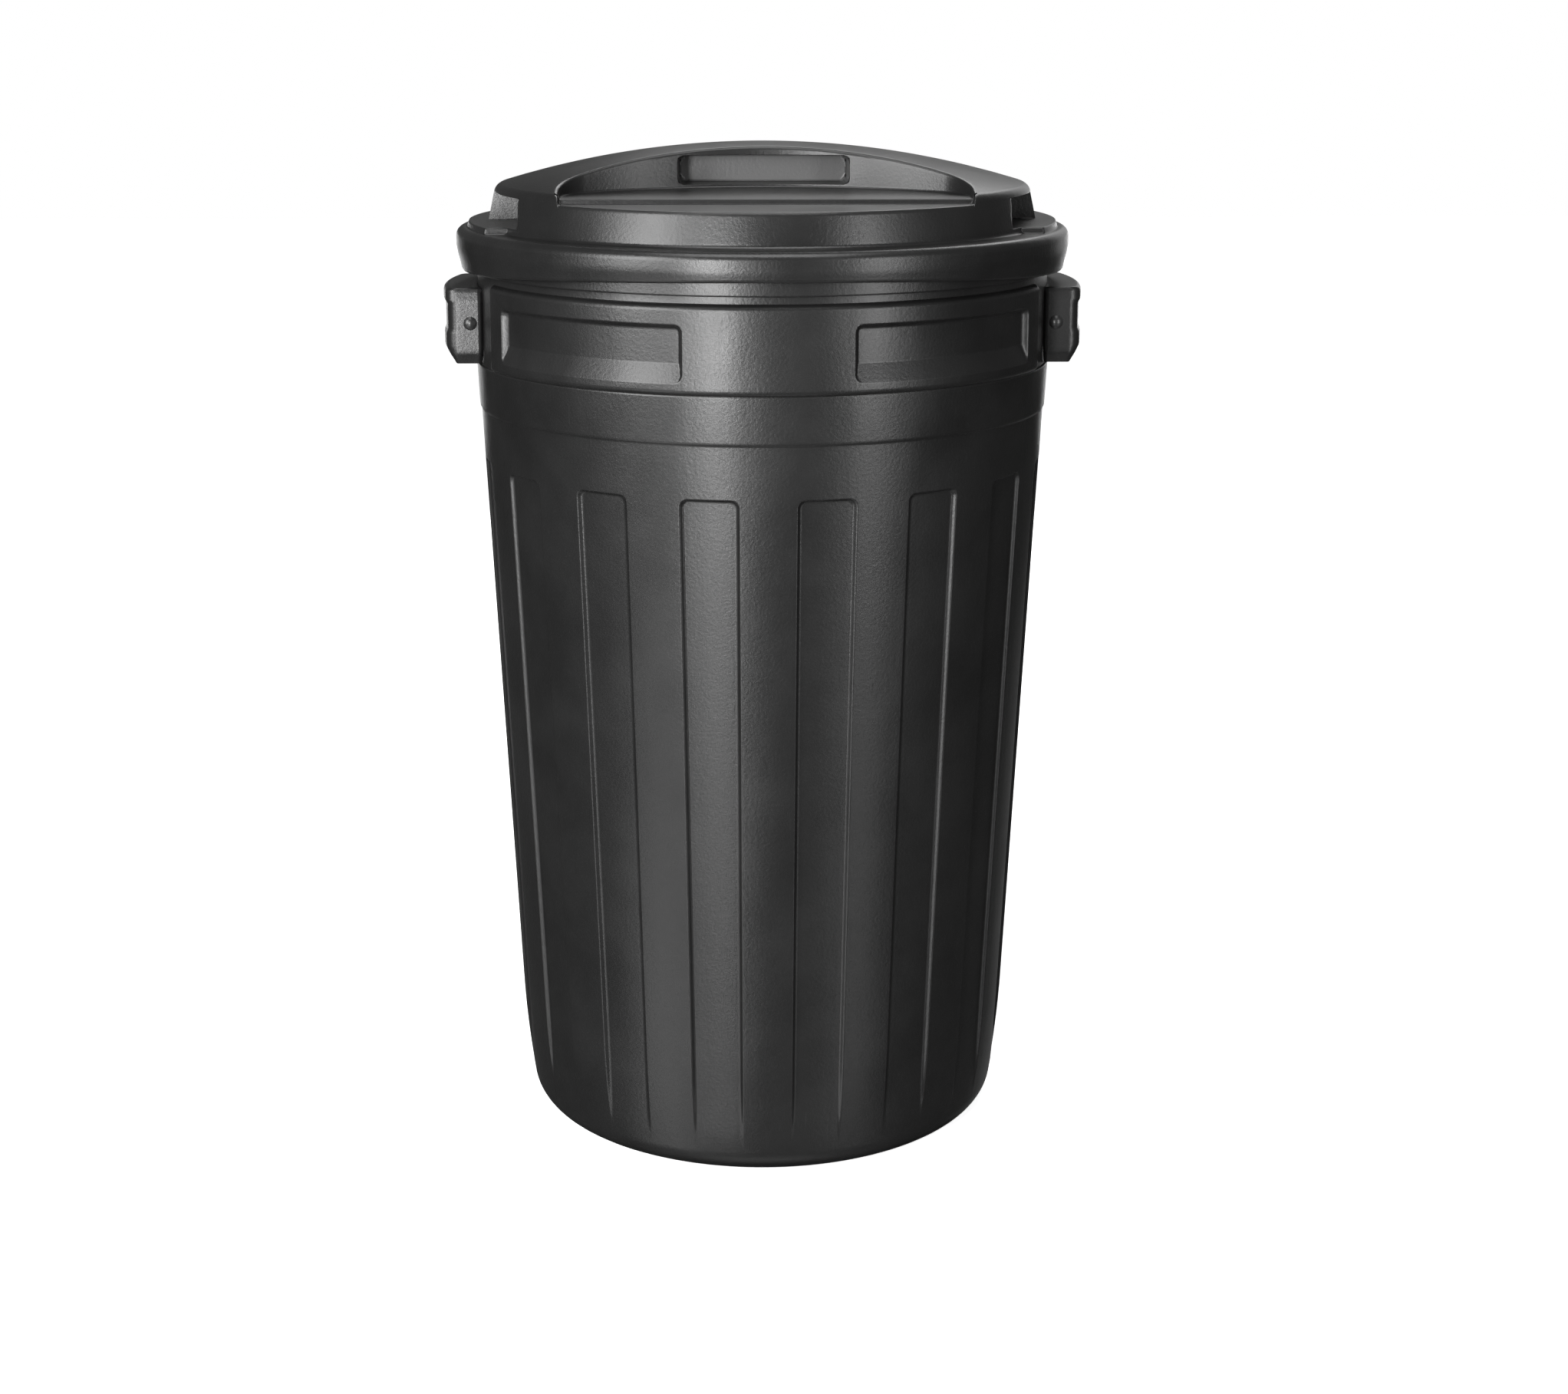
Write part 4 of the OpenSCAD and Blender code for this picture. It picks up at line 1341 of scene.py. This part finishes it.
    def dome_field(self, ribbon: np.ndarray, ring: np.ndarray, inset: float) -> np.ndarray:
        """Grid of the dome between a scoop's outline, the middle and the ring.

        Args:
            ribbon: the grid of the scoop's wall.
            ring: the grid of the ring around the top.
            inset: 0 for the outside of the lid, its wall thickness for the inside.

        Returns:
            Rows from the scoop's outline outwards by columns along it.
        """
        sets = self.ring_columns(inset)
        side = sets.deep.size + sets.between.size + 1
        outline = ribbon[-1]
        split = self.split_radius(inset)
        middle = outline.shape[0] - side + 1
        line = np.stack([np.linspace(0.0, split, middle), np.zeros(middle)], axis=1)[:-1]
        border = np.concatenate([line, ring[0, :side, :2]])
        start = outline[:, :2]
        length = np.linalg.norm(border - start, axis=1)[:, None]
        near = np.minimum(1.0, length / self.border_fade)
        outward = (border - start) / np.maximum(length, 1e-6)
        rows = [blend(start, border - outward * self.border_rows[0] * near, share)
                for share in (0.0, 0.1, 0.24, 0.4, 0.6, 0.8)]
        rows += [border - outward * gap * near for gap in self.border_rows]
        plan = np.stack(rows)
        height = self.dome(np.hypot(plan[..., 0], plan[..., 1]), inset)
        return np.concatenate([plan, height[..., None]], axis=-1)

    def plug_section(self) -> np.ndarray:
        """Section of the plug ring that centres the lid in the rim.

        Returns:
            Rows of radius and height, once around.
        """
        inner = self.foot_radius - 2 * self.plug_wall
        outer = inner + self.plug_wall
        low = self.flange_top - self.plug_depth
        high = self.flange_top - self.wall + 0.4
        edge = self.plug_edge
        return np.array([
            [inner, high], [inner, low + edge], [inner + edge, low], [outer - edge, low],
            [outer, low + edge], [outer, high], [inner, high]])

    def build(self, material: bpy.types.Material) -> bpy.types.Object:
        """Makes the lid.

        Args:
            material: the finish.

        Returns:
            The dressed object.
        """
        skin = Skin()
        rings = []
        for inset in (0.0, self.wall):
            ribbon, ending = self.scoop_ribbon(inset)
            ring = self.crown_ring(inset, ending)
            rings.append(ring)
            skin.quarters(ribbon)
            skin.quarters(self.scoop_floor(ribbon, inset))
            skin.quarters(self.dome_field(ribbon, ring, inset))
        outside, inside = rings
        skin.quarters(np.concatenate([
            outside, self.outer_ring(), self.under_flange(), inside[::-1]]))
        skin.turned(self.plug_section(), 240)
        piece = skin.build("lid_shell")
        dress(piece, material, Body.LID, ["lid"])
        return piece


# side handles


# the bevel at the foot of a handle: height above the foot, inset of the outer face and
# inset of the ends
FOOT_BEVEL = (
    (0.0, 8.7, 5.7), (0.3, 8.1, 5.1), (1.0, 7.4, 4.5), (3.0, 6.0, 3.3), (5.0, 4.65, 2.1),
    (6.4, 3.75, 1.3), (7.6, 3.1, 0.7), (8.4, 2.7, 0.35), (9.4, 2.2, 0.1), (11.5, 1.2, 0.0),
    (13.0, 0.55, 0.0), (14.0, 0.2, 0.0), (15.2, 0.02, 0.0), (19.0, 0.0, 0.0))


@dataclass
class Handle:
    """A moulded carry handle, open at the bottom and against the collar."""

    reach: float
    half_length: float
    bottom: float
    top: float
    collar_radius: float
    gap: float = 0.3
    corner: float = 10.0
    wall: float = 3.0
    end_wall: float = 6.5
    end_lap: float = 0.5
    # the shallow channel along the outer face
    channel: float = 1.6
    channel_foot: float = 25.0
    channel_head: float = 10.0
    # the rounded top, and how far the inside follows the bevel at the foot
    top_round: float = 4.0
    top_lean: float = 1.25
    inner_bevel: float = 6.9
    # the place of the pins
    pin_offset: float = 2.5
    pin_drop: float = 28.2

    @property
    def pin_reach(self) -> float:
        """Distance of the pins from the axis of the tub."""
        return self.collar_radius + self.pin_offset

    @property
    def pin_height(self) -> float:
        """Height of the pins."""
        return self.top - self.pin_drop

    def plan(self, face_in: float, end_in: float) -> np.ndarray:
        """Outline seen from above, from the collar around to the collar.

        Args:
            face_in: how far the outer face is moved inwards.
            end_in: how far the end faces are moved inwards.

        Returns:
            Rows of x and y.
        """
        far = self.reach - self.corner
        centre_y = self.half_length - self.corner
        centre_x = math.sqrt(far**2 - centre_y**2)
        lean = math.asin(centre_y / far)
        line = self.collar_radius + self.gap
        end_y = self.half_length - end_in
        start_x = math.sqrt(line**2 - end_y**2)
        ends = np.stack([np.linspace(start_x, centre_x, 6), np.full(6, end_y)], axis=1)
        turn = np.linspace(math.pi / 2, lean, 10)[1:]
        inward = end_in + (face_in - end_in) * ease((math.pi / 2 - turn) / (math.pi / 2 - lean))
        size = np.maximum(self.corner - inward, 0.2)
        bend = np.stack([centre_x + size * np.cos(turn), centre_y + size * np.sin(turn)], axis=1)
        bend[:, 1] = np.minimum(bend[:, 1], end_y)
        sweep = np.linspace(lean, -lean, 32)[1:-1]
        face = (self.reach - face_in) * np.stack([np.cos(sweep), np.sin(sweep)], axis=1)
        half = np.concatenate([ends, bend])
        return np.concatenate([half, face, half[::-1] * np.array([1.0, -1.0])])

    def rows(self) -> list[tuple[float, float, float]]:
        """Rows of the outside: the bevel, the channel's two edges and the rounded top.

        Returns:
            For each row, from the bottom up, its height, the inset of the outer face
            and the inset of the ends.
        """
        groove = self.bottom + self.channel_foot
        ridge = self.top - self.channel_head
        deep = self.channel
        rows = [(self.bottom + rise, face_in, end_in) for rise, face_in, end_in in FOOT_BEVEL]
        rows += [(groove + rise, face_in, 0.0) for rise, face_in in (
            (-0.8, 0.02), (0.0, 0.1), (0.8, 0.42), (2.2, deep - 0.42), (3.0, deep - 0.1),
            (3.8, deep))]
        rows += [(ridge + rise, face_in, end_in) for rise, face_in, end_in in (
            (-3.8, deep, 0.0), (-3.0, deep - 0.1, 0.0), (-2.2, deep - 0.42, 0.0),
            (-0.8, 0.42, 0.05), (0.0, 0.1, 0.1), (0.8, 0.02, 0.3))]
        rounding, lean = self.top_round, self.top_lean
        start = self.top - rounding
        rows.append((start, 0.0, lean))
        for turn in np.radians((15.0, 30.0, 45.0, 60.0, 75.0, 90.0)):
            back = 1.0 - math.cos(turn)
            rows.append((start + rounding * math.sin(turn), rounding * back,
                         lean + 1.2 * math.sin(turn) + 0.8 * back**2))
        return rows

    def build(self, side: Side, material: bpy.types.Material) -> bpy.types.Object:
        """Makes one handle.

        Args:
            side: the side of the bin that it is on.
            material: the finish.

        Returns:
            The dressed object.
        """
        outside = []
        inside = []
        roof = self.top - self.wall
        for height, face_in, end_in in self.rows():
            plan = self.plan(face_in, end_in)
            outside.append(np.column_stack([plan, np.full(len(plan), height)]))
            plan = self.plan(min(face_in, self.inner_bevel) + self.wall,
                             self.end_wall + self.end_lap)
            inside.append(np.column_stack([plan, np.full(len(plan), min(height, roof))]))
        outer, inner = np.stack(outside), np.stack(inside)
        line = self.collar_radius + self.gap
        skin = Skin()
        skin.grid(outer)
        skin.grid(inner)
        skin.grid(np.stack([outer[0], inner[0]]))
        for column in (0, -1):
            skin.grid(np.stack([outer[:, column], inner[:, column]]))
        caps = []
        for edge in (outer[-1], inner[-1]):
            back_y = np.clip(edge[:, 1], edge[-1, 1], edge[0, 1])
            back = np.column_stack([np.sqrt(line**2 - back_y**2), back_y, edge[:, 2]])
            caps.append(back)
            skin.grid(np.stack([
                blend(edge, back, share) for share in (0.0, 0.04, 0.12, 0.4, 0.7, 1.0)]))
        skin.grid(np.stack(caps))
        name = f"handle_{side.name.lower()}"
        if side is Side.LEFT:
            skin.points = [points * np.array([-1.0, 1.0, 1.0]) for points in skin.points]
        piece = skin.build(f"{name}_grip")
        dress(piece, material, Body.TUB, [name])
        return piece


# pins


@dataclass
class Pin:
    """A push-in pin with a domed head on the end face of a handle."""

    reach: float
    half_length: float
    height: float
    diameter: float = 7.0
    length: float = 15.5
    head: float = 11.0
    head_rise: float = 2.6

    def section(self) -> np.ndarray:
        """Section of the pin.

        Returns:
            Rows of radius and depth behind the handle's end face.
        """
        sphere = ((self.head / 2) ** 2 + self.head_rise**2) / (2 * self.head_rise)
        half = math.degrees(math.asin(self.head / 2 / sphere))
        dome = arc((sphere - self.head_rise, 0.0), sphere, 180.0, 180.0 - half + 4.0, 9)[:, ::-1]
        dome[0, 0] = 0.02
        stem = self.diameter / 2
        rest = [[self.head / 2 - 0.05, -0.25], [self.head / 2 - 0.3, 0.0], [stem, 0.0], [stem, 2.0],
                [stem, self.length - 1.0], [stem - 1.0, self.length], [0.02, self.length]]
        return np.concatenate([dome, rest])

    def build(self, side: Side, end: End, material: bpy.types.Material) -> bpy.types.Object:
        """Makes one pin.

        Args:
            side: the side of the bin that it is on.
            end: the end of the handle that it is in.
            material: the finish.

        Returns:
            The dressed object.
        """
        section = self.section()
        turn = np.linspace(0.0, 2 * math.pi, 40, endpoint=False)[None]
        x = side.value * self.reach + section[:, :1] * np.cos(turn)
        y = end.value * (self.half_length - section[:, 1:]) + 0.0 * turn
        z = self.height + section[:, :1] * np.sin(turn)
        skin = Skin()
        skin.grid(np.stack([x, y, z], axis=-1), closed=True)
        name = f"pin_{side.name.lower()}_{end.name.lower()}"
        piece = skin.build(f"{name}_moulding")
        dress(piece, material, Body.TUB, [name])
        return piece


# studio


@dataclass(frozen=True)
class Lamp:
    """A soft rectangular lamp that looks at the middle of the bin.

    Attributes:
        name: the lamp's name.
        azimuth: degrees from the front towards +X.
        height: height above the floor in metres.
        distance: distance from the axis of the bin in metres.
        width: width of its face in metres.
        length: height of its face in metres.
        watts: its power.
        aim_height: height that it looks at in metres.
    """

    name: str
    azimuth: float
    height: float
    distance: float
    width: float
    length: float
    watts: float
    aim_height: float = 0.45

    def add(self) -> None:
        """Adds the lamp to the scene."""
        data = bpy.data.lights.new(self.name, "AREA")
        data.shape = "RECTANGLE"
        data.size, data.size_y = self.width, self.length
        data.energy = self.watts
        lamp = bpy.data.objects.new(self.name, data)
        turn = math.radians(self.azimuth)
        lamp.location = (self.distance * math.sin(turn), -self.distance * math.cos(turn),
                         self.height)
        pitch = math.atan2(self.height - self.aim_height, self.distance)
        lamp.rotation_euler = (math.pi / 2 - pitch, 0.0, turn)
        bpy.context.scene.collection.objects.link(lamp)


LAMPS = (
    # the three that the photograph shows in the bin's sheen
    Lamp("key_softbox", azimuth=-19.0, height=0.7, distance=2.4,
         width=0.34, length=1.36, watts=48.0),
    Lamp("side_softbox", azimuth=-47.0, height=1.2, distance=2.2,
         width=0.95, length=1.6, watts=54.0),
    Lamp("fill_softbox", azimuth=40.0, height=0.8, distance=2.2,
         width=0.36, length=1.5, watts=19.0),
    # weaker ones that open up the back and the top
    Lamp("rear_softbox", azimuth=150.0, height=1.2, distance=2.4,
         width=1.0, length=1.8, watts=5.0),
    Lamp("back_softbox", azimuth=180.0, height=0.4, distance=2.6,
         width=2.4, length=0.6, watts=14.0),
    Lamp("top_softbox", azimuth=168.0, height=2.0, distance=1.5,
         width=1.3, length=0.9, watts=12.0),
    Lamp("ceiling_softbox", azimuth=-4.0, height=2.7, distance=0.7,
         width=1.7, length=1.3, watts=30.0),
)


@dataclass
class Studio:
    """Pale floor, dim room and the camera at the photograph's angle.

    The floor is white paper to the camera. To the light that falls on the bin it is
    dim with a soft sheen, which carries the lamps' streaks down to the foot.
    """

    # the photograph's frame, and the camera that was fitted to the bin's outline in it
    image_width: int = 2044
    image_height: int = 1817
    sensor_mm: float = 36.0
    distance: float = 2157.0
    focal_px: float = 3406.0
    eye_height: float = 936.8
    pitch: float = 12.5
    swing: float = 1.2
    axis_px: float = 993.7
    level_px: float = 745.0
    # the room and the floor, and the distances in metres between which the floor
    # rises to full white for the camera
    room_light: float = 0.09
    floor_tone: str = "#2c2c2c"
    floor_sheen: str = "#808080"
    floor_paper: str = "#f2f2f2"
    floor_roughness: float = 0.3
    floor_lift: float = 0.78
    lift_start: float = 0.35
    lift_end: float = 1.2
    floor_reach: float = 9000.0
    floor_drop: float = 0.5

    def camera(self) -> None:
        """Adds the camera and makes it the scene's own."""
        data = bpy.data.cameras.new("photo_camera")
        data.sensor_width = self.sensor_mm
        data.lens = self.focal_px * self.sensor_mm / self.image_width
        data.shift_x = (self.image_width / 2 - self.axis_px) / self.image_width
        data.shift_y = (self.level_px - self.image_height / 2) / self.image_width
        data.clip_end = 50.0
        camera = bpy.data.objects.new("photo_camera", data)
        turn = math.radians(self.swing)
        camera.location = (-self.distance * math.sin(turn) * MM,
                           -self.distance * math.cos(turn) * MM, self.eye_height * MM)
        camera.rotation_euler = (math.radians(90.0 - self.pitch), 0.0, -turn)
        bpy.context.scene.collection.objects.link(camera)
        bpy.context.scene.camera = camera

    def floor(self) -> None:
        """Adds the floor, just under the bin's standing ring."""
        reach, low = self.floor_reach, -self.floor_drop
        skin = Skin()
        skin.grid(np.array([[[-reach, -reach, low], [reach, -reach, low]],
                            [[-reach, reach, low], [reach, reach, low]]]))
        floor = skin.build("studio_floor")
        floor.data.materials.append(self.paper())

    def paper(self) -> bpy.types.Material:
        """Builds the floor's finish.

        Returns:
            The material.
        """
        material = bpy.data.materials.new("white_paper")
        material.use_nodes = True
        tree = material.node_tree
        tree.nodes.clear()
        seen = add_node(tree, "ShaderNodeLightPath").outputs["Is Camera Ray"]
        tone = add_node(tree, "ShaderNodeMix", {"data_type": "RGBA"}, {
            SHARE: seen, FIRST: linear(self.floor_tone), SECOND: linear(self.floor_paper)})
        paper = add_node(tree, "ShaderNodeBsdfDiffuse", inputs={"Color": tone.outputs[MIXED]})
        shine = add_node(tree, "ShaderNodeMix", {"data_type": "RGBA"}, {
            SHARE: seen, FIRST: linear(self.floor_sheen), SECOND: linear("#000000")})
        sheen = add_node(tree, "ShaderNodeBsdfAnisotropic", inputs={
            "Color": shine.outputs[MIXED], "Roughness": self.floor_roughness})
        surface = add_node(tree, "ShaderNodeAddShader", inputs={
            0: paper.outputs[0], 1: sheen.outputs[0]})
        # the camera sees the paper rise to full white away from the bin's soft shadow
        place = add_node(tree, "ShaderNodeTexCoord").outputs["Object"]
        away = add_node(tree, "ShaderNodeVectorMath", {"operation": "LENGTH"}, {0: place})
        level = add_node(tree, "ShaderNodeMapRange", inputs={
            "Value": away.outputs["Value"], "From Min": self.lift_start,
            "From Max": self.lift_end, "To Min": self.floor_lift, "To Max": 1.0})
        lift = add_node(tree, "ShaderNodeMath", {"operation": "MULTIPLY"}, {
            0: seen, 1: level.outputs[0]})
        glow = add_node(tree, "ShaderNodeEmission", inputs={
            "Color": WHITE, "Strength": lift.outputs[0]})
        both = add_node(tree, "ShaderNodeAddShader", inputs={
            0: surface.outputs[0], 1: glow.outputs[0]})
        add_node(tree, "ShaderNodeOutputMaterial", inputs={"Surface": both.outputs[0]})
        return material

    def world(self) -> None:
        """Fills the room with dim grey light behind a white background."""
        world = bpy.data.worlds.new("studio_room")
        bpy.context.scene.world = world
        world.use_nodes = True
        tree = world.node_tree
        tree.nodes.clear()
        rays = add_node(tree, "ShaderNodeLightPath")
        room = add_node(tree, "ShaderNodeBackground", inputs={
            "Color": WHITE, "Strength": self.room_light})
        white = add_node(tree, "ShaderNodeBackground", inputs={"Color": WHITE, "Strength": 1.0})
        mixed = add_node(tree, "ShaderNodeMixShader", inputs={
            0: rays.outputs["Is Camera Ray"], 1: room.outputs[0], 2: white.outputs[0]})
        add_node(tree, "ShaderNodeOutputWorld", inputs={"Surface": mixed.outputs[0]})

    def build(self) -> None:
        """Sets up the whole studio."""
        self.floor()
        self.world()
        for lamp in LAMPS:
            lamp.add()
        self.camera()
        bpy.context.scene.view_settings.view_transform = "Standard"


def node_box_mm(node: str) -> tuple[np.ndarray, np.ndarray]:
    """Lowest and highest corner of a CAD node in millimetres."""
    low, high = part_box(node)
    return np.array(low) / MM, np.array(high) / MM


def main() -> None:
    """Builds every piece of the bin and the studio around it."""
    logging.basicConfig(level=logging.INFO, format="%(name)s: %(message)s")
    tub_top = float(node_box_mm("tub")[1][2])
    lid_high = node_box_mm("lid")[1]
    grip_low, grip_high = node_box_mm("handle_right")
    tub = Tub(rim_top=tub_top)
    lid = Lid(radius=float(lid_high[0]), top=float(lid_high[2]), rim_top=tub_top)
    handle = Handle(reach=float(grip_high[0]), half_length=float(grip_high[1]),
                    bottom=float(grip_low[2]), top=float(grip_high[2]),
                    collar_radius=tub.collar_radius)
    pin = Pin(reach=handle.pin_reach, half_length=handle.half_length, height=handle.pin_height)
    polyethylene = BIN_POLYETHYLENE.make()
    nylon = PIN_NYLON.make()
    tub.build(handle, polyethylene)
    lid.build(LID_POLYETHYLENE.make())
    for side in Side:
        handle.build(side, polyethylene)
        for end in End:
            pin.build(side, end, nylon)
    Studio().build()


if __name__ == "__main__":
    main()
